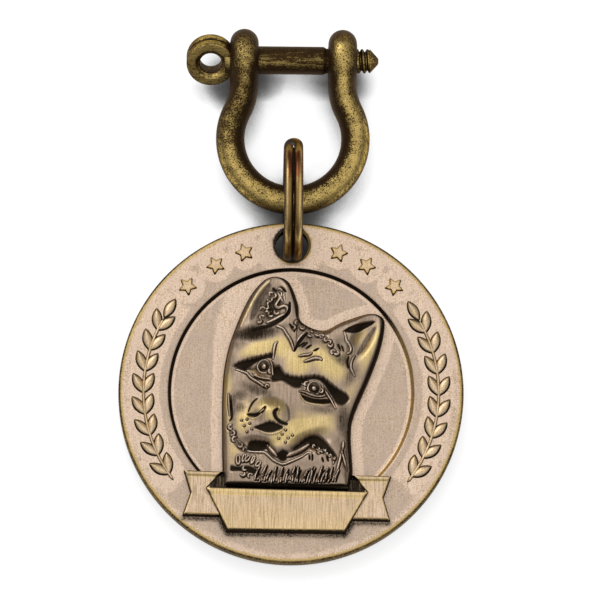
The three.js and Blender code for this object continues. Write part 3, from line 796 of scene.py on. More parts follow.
def gathered(parts):
    """One bmesh of several (bmesh, matrix) parts."""
    whole = bmesh.new()
    for part, matrix in parts:
        part.transform(matrix)
        if matrix.determinant() < 0:
            bmesh.ops.reverse_faces(part, faces=part.faces)
        mesh = bpy.data.meshes.new("part")
        part.to_mesh(mesh)
        part.free()
        whole.from_mesh(mesh)
        bpy.data.meshes.remove(mesh)
    return whole


def placed(name, data):
    """A new object in the scene."""
    obj = bpy.data.objects.new(name, data)
    bpy.context.scene.collection.objects.link(obj)
    return obj


def held(bm, name="work"):
    """A bmesh as an object."""
    mesh = bpy.data.meshes.new(name)
    bm.to_mesh(mesh)
    bm.free()
    return placed(name, mesh)


def released(obj):
    """The object's mesh with its modifiers applied, as a bmesh; the object goes."""
    depsgraph = bpy.context.evaluated_depsgraph_get()
    evaluated = obj.evaluated_get(depsgraph)
    bm = bmesh.new()
    bm.from_mesh(evaluated.to_mesh())
    evaluated.to_mesh_clear()
    mesh = obj.data
    bpy.data.objects.remove(obj)
    bpy.data.meshes.remove(mesh)
    return bm


def bored(bm, tool):
    """A body with a tool's shape cut out of it."""
    body = held(bm)
    cutter = held(tool)
    modifier = body.modifiers.new("Bore", "BOOLEAN")
    modifier.object = cutter
    modifier.operation = "DIFFERENCE"
    modifier.solver = "EXACT"
    result = released(body)
    released(cutter).free()
    return result


def fused(bm, voxel):
    """A body of overlapping shells as one smooth skin."""
    body = held(bm)
    modifier = body.modifiers.new("Fuse", "REMESH")
    modifier.mode = "VOXEL"
    modifier.voxel_size = voxel
    result = released(body)
    for _ in range(SKIN_PASSES):
        bmesh.ops.smooth_vert(
            result, verts=result.verts, factor=0.5, use_axis_x=True, use_axis_y=True, use_axis_z=True
        )
    return result


def finished(name, bm, place, material, paint, body, node=None, crease=None):
    """Makes a piece of a bmesh in its own frame and hands it to the CAD frame.

    paint(points, normals) gives patina, worn brass and bloom for each point, in the piece's own frame;
    patina and worn brass also carry painted shade and painted highlights. Edges that turn by more than the
    crease, in degrees, stay sharp.
    """
    obj = held(bm, name)
    mesh = obj.data
    count = len(mesh.vertices)
    points = np.zeros((count, 3), np.float32)
    normals = np.zeros((count, 3), np.float32)
    mesh.vertices.foreach_get("co", points.ravel())
    mesh.vertex_normals.foreach_get("vector", normals.ravel())
    tones = np.ones((count, 4), np.float32)
    tones[:, :3] = np.stack(np.broadcast_arrays(*paint(points, normals)), axis=1)
    attribute = mesh.attributes.new(FINISH, "FLOAT_COLOR", "POINT")
    attribute.data.foreach_set("color", np.clip(tones, 0, 1).ravel())
    mesh.transform(place)
    mesh.shade_smooth()
    if crease:
        mesh.set_sharp_from_angle(angle=math.radians(crease))
    mesh.materials.append(material)
    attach(obj, body)
    if node:
        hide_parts(node)


# Finishes

# Where patina, worn brass and bloom set in and where they cover, and the range of the noise that is used
DARK_RANGE = (0.18, 0.82)
WORN_RANGE = (0.1, 0.9)
BLOOM_RANGE = (0.32, 0.62)
NOISE_RANGE = (0.25, 0.75)
NOISE_ROUGHNESS = 0.6
FINE_DETAIL = 2.5
BROAD_DETAIL = 4
STREAK_DETAIL = 2

# How much the broad speckle moves the finishes and the fine one the bloom, and the swing's part in the shine
BROAD_SHARE = 0.6
BLOOM_GRAIN = 0.3
SHINE_SWING = 0.4

PATINA_METAL = 0.45
BUMP_STRENGTH = 0.6
SPECULAR_LEVEL = 0.25

# The sockets of a Mix node that take and give colours
MIX_FIRST = 6
MIX_SECOND = 7
MIX_RESULT = 2


class Nodes:
    """Short ways to add nodes to a tree."""

    def __init__(self, tree):
        self.tree = tree
        tree.nodes.clear()

    def add(self, kind, inputs=None, **settings):
        node = self.tree.nodes.new(kind)
        for key, value in settings.items():
            setattr(node, key, value)
        for socket, value in (inputs or {}).items():
            if isinstance(value, bpy.types.NodeSocket):
                self.tree.links.new(value, node.inputs[socket])
            else:
                node.inputs[socket].default_value = value
        return node

    def sum(self, *values):
        total = values[0]
        for value in values[1:]:
            total = self.add("ShaderNodeMath", {0: total, 1: value}, operation="ADD").outputs[0]
        return total

    def scaled(self, value, factor):
        return self.add("ShaderNodeMath", {0: value, 1: factor}, operation="MULTIPLY").outputs[0]

    def ramped(self, value, low, high, to_low=0.0, to_high=1.0):
        """A smooth step from one value to another."""
        inputs = {"Value": value, "From Min": low, "From Max": high, "To Min": to_low, "To Max": to_high}
        return self.add("ShaderNodeMapRange", inputs, interpolation_type="SMOOTHSTEP").outputs[0]

    def swung(self, noise, factor):
        """Noise moved to swing about zero."""
        return self.scaled(self.sum(noise, -0.5), factor)

    def shaded(self, tint, *gains):
        """A colour made lighter or darker by each gain in turn."""
        for gain in gains:
            tint = self.add("ShaderNodeVectorMath", {0: tint, "Scale": gain}, operation="SCALE").outputs[0]
        return tint

    def blended(self, share, first, second):
        inputs = {"Factor": share, MIX_FIRST: first, MIX_SECOND: second}
        return self.add("ShaderNodeMix", inputs, data_type="RGBA").outputs[MIX_RESULT]

    def speckle(self, grain, detail, stretch=(1, 1, 1)):
        """Noise with features of about grain metres, stretched along the piece's own axes."""
        place = self.add("ShaderNodeTexCoord").outputs["Object"]
        scale = [1 / (grain * factor) for factor in stretch]
        mapped = self.add("ShaderNodeMapping", {"Vector": place, "Scale": scale}).outputs[0]
        inputs = {"Vector": mapped, "Scale": 1.0, "Detail": detail, "Roughness": NOISE_ROUGHNESS}
        return self.add("ShaderNodeTexNoise", inputs).outputs[0]


def opaque(value):
    return (*value, 1)


def brass(name, tints, grain, brush, mottle, shine, bump, metal=1.0, strokes=(1, 24, 24)):
    """A brass finish over a piece's own patina, worn brass and bloom, which also carry painted shade and
    painted highlights.

    tints names the colours of body, worn brass, bloom and patina. grain is the size of the fine speckle, its
    swing between the finishes and its light and shade, and brush is the same of the brushing. mottle is the
    size and swing of the broad speckle, shine the roughness of worn and of dark metal, bump the depth of the
    grain, and strokes how far the brushing runs along each axis.
    """
    body, gilt, pale, patina = [opaque(getattr(settings().finishes, tint)) for tint in tints]
    material = bpy.data.materials.new(name)
    material.use_nodes = True
    nodes = Nodes(material.node_tree)
    tones = nodes.add("ShaderNodeVertexColor", layer_name=FINISH).outputs["Color"]
    split = nodes.add("ShaderNodeSeparateColor", {"Color": tones}).outputs
    fine = nodes.speckle(grain[0], FINE_DETAIL)
    broad = nodes.speckle(mottle[0], BROAD_DETAIL)
    streaks = nodes.speckle(brush[0], STREAK_DETAIL, strokes)
    fine_swing = nodes.swung(fine, grain[1])
    broad_swing = nodes.swung(broad, mottle[1])
    streak_swing = nodes.swung(streaks, brush[1])
    swing = nodes.sum(fine_swing, streak_swing, nodes.scaled(broad_swing, BROAD_SHARE))
    # dark and worn take the painted patina and worn brass, with the painted shade and painted highlights
    # that they carry
    dark = nodes.ramped(nodes.sum(split["Red"], swing), *DARK_RANGE)
    worn = nodes.ramped(nodes.sum(split["Green"], nodes.scaled(swing, -1.0)), *WORN_RANGE)
    bloom_grain = nodes.scaled(fine_swing, BLOOM_GRAIN)
    bloom = nodes.ramped(nodes.sum(split["Blue"], broad_swing, bloom_grain), *BLOOM_RANGE)
    base = nodes.blended(bloom, body, pale)
    base = nodes.blended(worn, base, gilt)
    base = nodes.blended(dark, base, patina)
    sand = nodes.ramped(fine, *NOISE_RANGE, 1 - grain[2], 1 + grain[2])
    lines = nodes.ramped(streaks, *NOISE_RANGE, 1 - brush[2], 1 + brush[2])
    rough = nodes.ramped(nodes.sum(dark, nodes.scaled(swing, SHINE_SWING)), 0.0, 1.0, *shine)
    depth = nodes.sum(nodes.scaled(fine, grain[1]), nodes.scaled(streaks, brush[1]))
    relief = nodes.add("ShaderNodeBump", {"Height": depth, "Strength": BUMP_STRENGTH, "Distance": bump})
    shader = nodes.add("ShaderNodeBsdfPrincipled", {
        "Base Color": nodes.shaded(base, sand, lines),
        "Metallic": nodes.ramped(dark, 0.0, 1.0, metal, PATINA_METAL),
        "Roughness": rough,
        "Normal": relief.outputs[0],
        "Specular Tint": gilt,
        "Specular IOR Level": SPECULAR_LEVEL,
    })
    nodes.add("ShaderNodeOutputMaterial", {"Surface": shader.outputs[0]})
    return material


# The disc and its ornament

DISC_SIDES = 320
BACK_STEP = 0.4 * MM
FRONT_STEP = 0.28 * MM
HOLE_SIDES = 96
HOLE_ROUND = 0.1 * MM
HALO_SIDES = 160
BED_WIDTH = 0.15 * MM
BED_RISE = 0.03 * MM
STAR_ANGLES = [18.2, 30.1, 43.5, -18.7, -30.9, -44.5]
STAR_STEP = math.radians(36)
STAR_BLUNT = 0.4 * MM
STAR_SHOULDER = 0.08 * MM
STAR_FLAT = 0.99
BRANCH_START = 128
BRANCH_END = 60
LEAF_PAIRS = 8
FIRST_LEAF = 0.35
LEAF_GRID = (20, 18)
LEAF_FLAT = 0.85
STEM_HALF = 0.24 * MM
STEM_GRID = (10, 80)


def on_band(angle, sizes, radius):
    """Where a thing drawn at the origin, pointing out from the disc's middle, sits on the band."""
    out = Matrix.Translation((0, radius, sizes.thickness))
    return Matrix.Rotation(-math.radians(angle), 4, "Z") @ out


def star_places(sizes):
    return [on_band(angle, sizes, sizes.star_circle) for angle in STAR_ANGLES]


def leaf_places(sizes):
    """Frames of the right branch's leaves: along X from the stem to the tip."""
    step = (BRANCH_START - BRANCH_END) / LEAF_PAIRS
    back = Matrix.Rotation(math.pi, 4, "Z")
    places = []
    for pair in range(LEAF_PAIRS):
        foot = on_band(BRANCH_START - (pair + FIRST_LEAF) * step, sizes, sizes.band_middle)
        for side in (1, -1):
            places.append(foot @ Matrix.Rotation(math.pi - side * sizes.leaf_spread, 4, "Z"))
    places.append(on_band(BRANCH_END, sizes, sizes.band_middle) @ back)
    return places


def field_drawn_up(sizes, x, y):
    """How much further out than its radius the field's edge lies in the direction of each point."""
    return sizes.field_lift * np.maximum(0, y / np.maximum(np.hypot(x, y), TINY)) ** 2


def disc_body(sizes):
    """The disc turned from its section, its field's edge drawn up towards the hole, and the hole bored."""
    floor = sizes.thickness - sizes.field_depth
    profile = filleted([
        (0, 0),
        (sizes.radius, 0),
        (sizes.radius, sizes.thickness),
        (sizes.field_radius, sizes.thickness),
        (sizes.field_radius - sizes.field_slope, floor),
        (0, floor),
    ], sizes.edge_round, 8)
    body = lathe(divided(profile[:2], BACK_STEP)[:-1] + divided(profile[1:], FRONT_STEP), DISC_SIDES)
    for vert in body.verts:
        radius = vert.co.xy.length
        if vert.co.z > 0.5 * sizes.thickness and radius > 0.5 * sizes.field_radius:
            band = smoothstep(sizes.radius - 4 * MM, sizes.field_radius, radius)
            field = smoothstep(0.5 * sizes.field_radius, sizes.field_radius - 1.5 * MM, radius)
            drawn_up = field_drawn_up(sizes, vert.co.x, vert.co.y) * band * field
            vert.co.xy *= 1 + float(drawn_up) / radius
    mouth = sizes.hole_radius + sizes.countersink
    tool = lathe(filleted([
        (0, -MM),
        (sizes.hole_radius, -MM),
        (sizes.hole_radius, sizes.thickness - sizes.countersink),
        (mouth, sizes.thickness + 0.02 * MM),
        (mouth, sizes.thickness + MM),
        (0, sizes.thickness + MM),
    ], HOLE_ROUND, 3), HOLE_SIDES)
    bmesh.ops.translate(tool, verts=tool.verts, vec=(0, sizes.hole_centre, 0))
    return bored(body, tool)


def disc_finish(sizes, relief):
    """Pale round ornament and head; worn at the rim; painted light towards the top and on the lit side of
    the field's wall and of the hole's mouth; painted shade on the rest of wall and mouth, on the rim's side,
    in the bore and below the ribbon.
    """
    stars = [place.translation for place in star_places(sizes)]
    head_line = head_boundary(HALO_SIDES) * MM
    foot_line = ribbon_foot_line(relief)

    def bloom_at(x, y, radius, from_hole, field_edge):
        from_star = np.min([np.hypot(x - star.x, y - star.y) for star in stars], axis=0)
        heading = np.degrees(np.arctan2(np.abs(x), y))
        by_branch = smoothstep(BRANCH_END - 12, BRANCH_END - 6, heading)
        by_branch = by_branch * smoothstep(BRANCH_START + 6, BRANCH_START, heading)
        by_branch = by_branch * smoothstep(2.9 * MM, 2.0 * MM, np.abs(radius - sizes.band_middle))
        in_field = radius < field_edge
        # Painted light towards the top: a wider halo round the head's upper left, and a paler band at the
        # top
        upper = smoothstep(2 * MM, 14 * MM, y)
        halo = (1.5 + 1.6 * upper * (x < 0)) * MM
        bloom = most(
            smoothstep(2.9 * MM, 1.7 * MM, from_star),
            0.75 * by_branch,
            smoothstep(1.5 * halo, 0.6 * halo, distance_to(head_line, x, y)) * in_field,
            smoothstep(1.3 * MM, 0.3 * MM, field_edge - radius) * in_field,
            0.6 * smoothstep(2.6 * MM, 0.8 * MM, sizes.radius - radius),
            0.8 * smoothstep(6.5 * MM, 3.5 * MM, from_hole),
        )
        wall_foot = field_edge - sizes.field_slope - 0.25 * MM
        line = smoothstep(0.22 * MM, 0.08 * MM, np.abs(radius - wall_foot))
        return np.maximum(0.9 * bloom, line) + 0.2 * upper * (radius > field_edge)

    def paint(points, normals):
        x, y, z = points.T
        radius = np.hypot(x, y)
        from_hole = np.hypot(x, y - sizes.hole_centre)
        field_edge = sizes.field_radius + field_drawn_up(sizes, x, y)
        front = z > 0.5 * sizes.thickness
        rim = smoothstep(sizes.radius - 0.75 * MM, sizes.radius - 0.3 * MM, radius)
        mouth = smoothstep(sizes.countersink + 0.2 * MM, sizes.countersink, from_hole - sizes.hole_radius)
        # Painted highlight and shade in the hole's mouth: bright on the side that faces the light, dark on
        # the other
        to_light = (0.8 * x - 0.6 * (y - sizes.hole_centre)) / np.maximum(from_hole, TINY)
        mouth_lit_side = smoothstep(-0.3, 0.4, to_light)
        shade = 0.55 * front * mouth * (1 - mouth_lit_side)
        # Painted shade in the bore, below the mouth
        below_mouth = smoothstep(0.0, -0.08 * MM, z - sizes.thickness + sizes.countersink)
        bore = (from_hole < sizes.hole_radius + 0.2 * MM) * below_mouth
        # Painted light and shade on the field's wall: bright where it faces up and left, towards the light,
        # dark elsewhere
        wall = front * (radius < field_edge + 0.05 * MM) * smoothstep(0.97, 0.85, normals[:, 2])
        lit = smoothstep(0.0, 0.5, normals[:, 1] - normals[:, 0]) * wall
        # Painted shade on the rim's outer side
        side = smoothstep(0.998, 0.9, normals[:, 2]) * (radius > sizes.radius - MM)
        # Painted shadow on the field below the ribbon's lower edges
        sunk = front * (y < 0) * smoothstep(0.8 * MM, 0.1 * MM, distance_to(foot_line, x, y))
        dark = np.maximum(0.85 * (wall - lit), bore) + 0.5 * side + 0.45 * sunk + shade + 0.15
        worn = most(rim, lit, mouth * mouth_lit_side) * (1 - bore) + 0.22
        return dark, worn, bloom_at(x, y, radius, from_hole, field_edge) * front

    return paint


def raised(bm, face, rise, share):
    """Draws a face up out of a body, narrows it to a share of its width and gives the new top."""
    made = bmesh.ops.extrude_face_region(bm, geom=[face, *face.edges, *face.verts])["geom"]
    verts = of_kind(bmesh.types.BMVert, made)
    bmesh.ops.translate(bm, verts=verts, vec=(0, 0, rise))
    bmesh.ops.scale(bm, verts=verts, vec=(share, share, 1))
    return of_kind(bmesh.types.BMFace, made)[0]


def star_body(sizes):
    """A five-pointed star with blunt tips and a rounded shoulder, on a thin bed that is a little larger."""
    bm = bmesh.new()
    bmesh.ops.create_circle(bm, cap_ends=True, segments=10, radius=sizes.star_reach)
    for vert in bm.verts:
        step = round(math.atan2(vert.co.x, vert.co.y) / STAR_STEP)
        if step % 2:
            vert.co *= sizes.star_notch / sizes.star_reach
    tips = [vert for vert in bm.verts if vert.co.length > sizes.star_notch + TINY]
    bmesh.ops.bevel(
        bm, geom=tips, offset=STAR_BLUNT, affect="VERTICES", segments=4, profile=0.5, material=-1
    )
    top = next(iter(bm.faces))
    for rise, share in (
        (BED_RISE, 1),
        (0, 0.85),
        (sizes.ornament_rise - BED_RISE - STAR_SHOULDER, 0.96),
        (STAR_SHOULDER, 0.92),
        (0, 0.6),
    ):
        top = raised(bm, top, rise, share)
    bmesh.ops.recalc_face_normals(bm, faces=bm.faces)
    return bm


def ornament_finish(sizes, flat):
    """Worn where a face slopes more than flat, and blackened round the foot, darkest on the lower side as
    painted shade.
    """
    top = sizes.thickness + sizes.ornament_rise

    def paint(points, normals):
        height = points[:, 2] - sizes.thickness
        # Painted shade: the foot is darkest on the lower side of each star and leaf
        shaded = smoothstep(-0.3, 0.3, 0.15 * normals[:, 0] - 0.95 * normals[:, 1])
        foot = smoothstep((0.2 + 0.14 * shaded) * MM, 0.05 * MM, height) * (0.5 + 0.6 * shaded)
        edge = smoothstep(flat, flat - 0.2, normals[:, 2]) * smoothstep(0.05 * MM, 0.2 * MM, height)
        return foot, 0.6 * edge + 0.5, 0.6 * smoothstep(0.3 * MM, 0.02 * MM, top - points[:, 2])

    return paint


def leaf_body(sizes):
    """A leaf on a thin bed that is a little larger."""
    leaf = leaf_blade(sizes.leaf_length, sizes.leaf_width, sizes.ornament_rise)
    bed = leaf_blade(sizes.leaf_length + 1.5 * BED_WIDTH, sizes.leaf_width + 2 * BED_WIDTH, BED_RISE)
    return gathered([(leaf, Matrix()), (bed, Matrix.Translation((-0.5 * BED_WIDTH, 0, 0)))])


def leaf_blade(blade_length, width, rise):
    """A pointed blade along X with a crest along its middle."""

    def place(across, along):
        swell = np.sin(math.pi * along) ** 0.75
        side = np.cos(FULL_TURN * across)
        up = np.sin(FULL_TURN * across)
        crest = np.where(up > 0, 1 - 0.5 * np.abs(side), -0.1) * np.abs(up) ** 0.4
        return along * blade_length, side * swell * width / 2, crest * swell**0.5 * rise

    return woven(*LEAF_GRID, place)


def stem_body(sizes):
    """The right branch's stem, a half-round rib along the band."""

    def place(across, along):
        angle = np.radians(90 - (BRANCH_START + (BRANCH_END - BRANCH_START) * along))
        thin = STEM_HALF * np.clip(np.minimum(along, 1 - along) * 40, 0, 1) ** 0.5
        radius = sizes.band_middle + thin * np.cos(FULL_TURN * across)
        height = sizes.thickness + 1.3 * thin * np.sin(FULL_TURN * across)
        return radius * np.cos(angle), radius * np.sin(angle), height

    return woven(*STEM_GRID, place)


# The head

HEAD_SIDES = 720
HEAD_BOTTOM_SIDES = 170
HEAD_RINGS = 128
HEAD_WALL_ROWS = 4
HEAD_SEAM_SIDES = 200

# Distance from the head's edge over which the relief sets in, in millimetres
RELIEF_MARGIN = 0.7


def head_boundary(sides=HEAD_SIDES):
    """The head's outline in millimetres, closed along its straight bottom edge."""
    bottom_sides = round(sides * HEAD_BOTTOM_SIDES / HEAD_SIDES)
    round_part = evenly(through(HEAD_OUTLINE, 24), sides - bottom_sides + 1)
    bottom = np.linspace(round_part[-1], round_part[0], bottom_sides + 1)
    return np.vstack([round_part, bottom[1:]])


def head_body(sizes, disc):
    """Rings drawn in from the outline to the middle, above a short wall, at the relief's height."""
    outline = head_boundary()
    along_edge = np.roll(outline[:-1], -1, axis=0) - np.roll(outline[:-1], 1, axis=0)
    outward = np.stack([along_edge[:, 1], -along_edge[:, 0]], axis=1)
    outward /= np.hypot(*outward.T)[:, None]
    support = np.abs(np.sum(outline[:-1] * outward, axis=1))
    support = np.append(support, support[0])
    rows = HEAD_RINGS + HEAD_WALL_ROWS
    foot = (disc.thickness - disc.field_depth) / MM
    edge_rise = sizes.edge_rise / MM
    fillet = sizes.edge_round / MM

    def place(across, along):
        column = np.rint(across * HEAD_SIDES).astype(int)
        row = np.rint(along * rows).astype(int)
        inward = np.clip((row - HEAD_WALL_ROWS) / HEAD_RINGS, 0, 1)
        share = 1 - inward * (0.5 + 0.5 * inward)
        u = outline[column, 0] * share
        v = outline[column, 1] * share
        from_edge = (1 - share) * support[column]
        depth = np.clip(from_edge, 0, fillet)
        edge = edge_rise - fillet + np.sqrt(fillet**2 - (fillet - depth) ** 2)
        relief = Relief(u, v)
        relief.carve()
        settled = smoothstep(0.0, RELIEF_MARGIN, from_edge)
        top = edge + sizes.crown_rise / MM * (1 - share**6) + relief.height * settled
        height = np.where(row < HEAD_WALL_ROWS, (edge_rise - fillet) * row / HEAD_WALL_ROWS, top)
        return u * MM, v * MM, (foot + height) * MM

    return woven(HEAD_SIDES, rows, place)


def head_finish(sizes, disc):
    """The relief's tones, painted shade and highlights among them, and a dark seam round the edge, widened
    on the right as painted shadow.
    """
    outline = head_boundary(HEAD_SEAM_SIDES)
    foot = disc.thickness - disc.field_depth

    def paint(points, normals):
        u = points[:, 0] / MM
        v = points[:, 1] / MM
        relief = Relief(u, v)
        relief.carve()
        edge = distance_to(outline, u, v)
        # Painted shadow: the seam widens where the edge faces right, away from the light
        shaded = smoothstep(0.0, 0.5, normals[:, 0])
        width = 0.28 + 0.6 * shaded
        wall = smoothstep(width, 0.4 * width, edge)
        low = smoothstep(sizes.edge_rise * 0.6, sizes.edge_rise * 0.35, points[:, 2] - foot)
        return most(relief.patina, wall, low), relief.gilt * (1 - wall), relief.pale * (1 - wall)

    return paint


# The ribbon, in millimetres

PANEL_BOTTOM = -20.5
PANEL_TOP = -14.6
PANEL_FOOT = 8.45
PANEL_CORNER = 11.6
PANEL_LIFT = 0.24
TAIL_BOTTOM = -18.35
TAIL_TOP = -12.15
TAIL_REACH = 14.8
TAIL_INNER = 9.6
TAIL_NOTCH = 1.0
TAIL_LAP = 0.4
FOLD_BOTTOM = PANEL_TOP - 0.4
FOLD_TOP = TAIL_TOP - 0.5
FOLD_INNER = 8.7
FOLD_LAP = 0.2
FOLD_REACH = 11.2
FACE_STEP = 0.4
FOOT_STEP = 1.2
WALL_DRAFT = 0.3
FOOT_DRAFT = 0.5
RIBBON_SHIFT = -0.2

# A patch's grid, the part of it that goes to the walls, and the depth and width of the rounded lip
PATCH_GRID = (100, 50)
PATCH_WALL = 0.06
LIP_DROP = 0.14
LIP_WIDTH = 0.28


def ribbon_place(sizes):
    """Where the ribbon, drawn upright, lies on the tag."""
    return Matrix.Rotation(sizes.ribbon_turn, 4, "Z") @ Matrix.Translation((RIBBON_SHIFT * MM, 0, 0))


def ribbon_foot_line(sizes):
    """The foot of the ribbon's lower edge across the tag, in metres, below which the disc gets a painted
    shadow.
    """
    place = ribbon_place(sizes)
    tail_foot = PANEL_FOOT + FOOT_STEP
    corners = [
        (-TAIL_REACH, TAIL_BOTTOM), (-tail_foot, TAIL_BOTTOM), (-PANEL_FOOT, PANEL_BOTTOM),
        (PANEL_FOOT, PANEL_BOTTOM + PANEL_LIFT), (tail_foot, TAIL_BOTTOM), (TAIL_REACH, TAIL_BOTTOM),
    ]
    return np.array([(place @ Vector((u * MM, (v - FOOT_DRAFT) * MM, 0)))[:2] for u, v in corners])


def patch(low, high, left, right, top, foot, lift=0.0):
    """A raised panel between two heights, its sides given by left(v) and right(v), its face by top(s, t).

    s runs across from 0 to 1 and t up from 0 to 1. The walls lean out by the casting's draft, and the right
    end of the lower edge is lifted.
    """

    def on_face(share):
        return np.clip((share - PATCH_WALL) / (1 - 2 * PATCH_WALL), 0, 1)

    def on_wall(share):
        from_middle = share - 0.5
        return np.clip((np.abs(from_middle) - 0.5 + PATCH_WALL) / PATCH_WALL, 0, 1) * np.sign(from_middle)

    def place(across, along):
        s = on_face(across)
        t = on_face(along)
        out_u = on_wall(across)
        out_v = on_wall(along)
        drop = np.maximum(np.abs(out_u), np.abs(out_v))
        v = low + (high - low) * t
        width = right(v) - left(v)
        u = left(v) + width * s
        lip = np.minimum(np.minimum(s, 1 - s) * width, np.minimum(t, 1 - t) * (high - low))
        face = top(s, t) - LIP_DROP * np.clip(1 - lip / LIP_WIDTH, 0, 1) ** 2
        height = face + (foot - face) * drop
        v = v + lift * s * (1 - t) + np.where(out_v < 0, FOOT_DRAFT, WALL_DRAFT) * out_v
        return (u + WALL_DRAFT * out_u) * MM, v * MM, height * MM

    return woven(*PATCH_GRID, place)


def panel_right(v):
    return PANEL_FOOT + (PANEL_CORNER - PANEL_FOOT) * (v - PANEL_BOTTOM) / (PANEL_TOP - PANEL_BOTTOM)


def panel_left(v):
    return -panel_right(v)


def fold_line(v):
    """The slanting edge between a tail and its fold."""
    return PANEL_CORNER + (TAIL_INNER - PANEL_CORNER) * (v - PANEL_TOP) / (TAIL_TOP - PANEL_TOP)


def tail_inner(v):
    return np.where(v < PANEL_TOP, panel_right(v) - TAIL_LAP, fold_line(v))


def tail_outer(v):
    half = (TAIL_TOP - TAIL_BOTTOM) / 2
    return TAIL_REACH - TAIL_NOTCH * (1 - np.abs(v - TAIL_BOTTOM - half) / half)


def fold_inner(v):
    return FOLD_INNER


def fold_outer(v):
    return fold_line(v) + FOLD_LAP


def ribbon_body(sizes, disc):
    """The panel, and a tail and a fold at each side of it."""
    band = disc.thickness / MM
    foot = (disc.thickness - disc.field_depth) / MM

    def panel_face(s, t):
        hollowed = 0.25 * smoothstep(0.8, 0.95, t) + 0.12 * (2 * s - 1) ** 2
        return band + sizes.panel_rise / MM - 0.25 + hollowed

    def tail_face(s, t):
        return band + sizes.tail_rise / MM - 0.15 + 0.3 * smoothstep(0.86, 0.95, t) + 0.15 * s

    def fold_face(s, t):
        return band + sizes.fold_rise / MM

    panel = patch(PANEL_BOTTOM, PANEL_TOP, panel_left, panel_right, panel_face, foot, PANEL_LIFT)
    parts = [(panel, Matrix())]
    for side in (Matrix(), MIRROR):
        parts.append((patch(TAIL_BOTTOM, TAIL_TOP, tail_inner, tail_outer, tail_face, foot), side))
        parts.append((patch(FOLD_BOTTOM, FOLD_TOP, fold_inner, fold_outer, fold_face, foot), side))
    return gathered(parts)


def ribbon_finish(sizes, disc):
    """Worn along the edges and to the panel's lower edge, paler on the tails, dark on the walls, and
    darkened on the folds as painted shade.
    """
    fold_top = disc.thickness + sizes.fold_rise
    panel_low = disc.thickness + sizes.panel_rise - FACE_STEP * MM

    def paint(points, normals):
        x, y, height = points.T
        panel = height > panel_low
        tail = height < panel_low
        fold = (np.abs(x) < FOLD_REACH * MM) & (y > (PANEL_TOP + 0.1) * MM) & (height < fold_top + 0.1 * MM)
        steep = smoothstep(0.75, 0.35, normals[:, 2])
        edge = smoothstep(0.999, 0.96, normals[:, 2]) * (1 - steep)
        upper = 0.7 * smoothstep(1.0 * MM, 0.6 * MM, (PANEL_TOP - 0.05) * MM - y) * panel
        lower = smoothstep(PANEL_TOP * MM, PANEL_BOTTOM * MM, y) * panel
        worn = np.maximum(edge, upper) + 0.15 - 0.15 * tail + 0.35 * lower
        # The folds are darkened as painted shade, lying lower than panel and tails
        return np.maximum(steep, 0.65 * fold) + 0.12, worn, 0.4 * tail

    return paint


# The split ring

WIRE_SIDES = 24
RING_STEPS = 90
JOG_STEPS = 16


def ring_body(sizes):
    """Two turns of wire side by side, spun about X, with a jog from one to the other."""
    middle = sizes.ring_radius - sizes.ring_wire / 2
    strand = (sizes.ring_width + sizes.ring_gap) / 2
    start = sizes.ring_jog / 2 + sizes.ring_end_gap
    turn_arc = FULL_TURN - sizes.ring_jog / 2 - start
    bm = bmesh.new()
    flat = Matrix.Scale(sizes.ring_width / sizes.ring_wire, 4, (1, 0, 0))
    section = Matrix.Translation((-strand, middle, 0)) @ flat
    wire = sizes.ring_wire / 2
    bmesh.ops.create_circle(bm, cap_ends=False, segments=WIRE_SIDES, radius=wire, matrix=section)
    bmesh.ops.rotate(bm, verts=bm.verts, cent=(0, 0, 0), matrix=Matrix.Rotation(start, 3, "X"))

    def spun(geom, angle, steps, shift=0.0):
        move = (shift / steps, 0, 0)
        made = bmesh.ops.spin(
            bm, geom=geom, cent=(0, 0, 0), axis=(1, 0, 0), dvec=move, angle=angle, steps=steps
        )
        return made["geom_last"]

    def crossed(step):
        """How far across the wire is at a step of the jog."""
        return math.sin((step / JOG_STEPS - 0.5) * math.pi)

    last = spun(bm.verts[:] + bm.edges[:], turn_arc, RING_STEPS)
    for step in range(JOG_STEPS):
        shift = strand * (crossed(step + 1) - crossed(step))
        last = spun(last, sizes.ring_jog / JOG_STEPS, 1, shift)
    spun(last, turn_arc, RING_STEPS)
    return closed(bm)


def ring_finish(sizes):
    """A painted highlight along the crown of each turn, towards its outer side, and painted shade between
    and inside the turns and at the end that passes through the tag's hole.
    """

    def paint(points, normals):
        x, y, z = points.T
        outward = (normals[:, 1] * y + normals[:, 2] * z) / np.hypot(y, z)
        # Painted shade between the two turns, where they nearly touch
        between = smoothstep(0.42 * MM, 0.12 * MM, np.abs(x))
        jog = smoothstep(sizes.ring_jog, 0.6 * sizes.ring_jog, np.abs(np.arctan2(z, y)))
        # Painted shade on the sides and insides of the turns, away from their crowns
        sides = smoothstep(0.95, 0.4, outward)
        left_turn = smoothstep(0.1 * MM, -0.4 * MM, x) * (1 - jog)
        # Painted shade on the end that passes through the tag's hole
        far_end_shade = smoothstep(-7.4 * MM, -8.6 * MM, y)
        dark = most(between * (1 - jog), 0.75 * sides, 0.2 * jog) + 0.22 + 0.12 * left_turn + 0.4 * far_end_shade
        upper = smoothstep(-2 * MM, 7 * MM, y)
        # Painted highlight along each turn's crown, set towards its outer side
        crest = 0.9 * outward + 0.43 * normals[:, 0] * np.sign(x)
        worn = smoothstep(0.9, 1, crest) * (1 - 0.5 * upper) * (1 - 0.4 * jog)
        return dark, worn, np.maximum(0.3 * jog, 0.8 * upper * (1 - jog))

    return paint


# The shackle

ROD_SIDES = 32
BEND_STEPS = 16
BOW_STEPS = 96
EYE_SIDES = 48
EYE_RIM_STEPS = 20
EYE_BORE_REACH = 4 * MM
SKIN_VOXEL = 0.15 * MM


def eye_frame(sizes, side):
    """The middle of the left or right eye, its axis along Z."""
    middle = Matrix.Translation((side * sizes.leg_offset, PIN_REACH, 0))
    return middle @ Matrix.Rotation(QUARTER_TURN, 4, "Y")


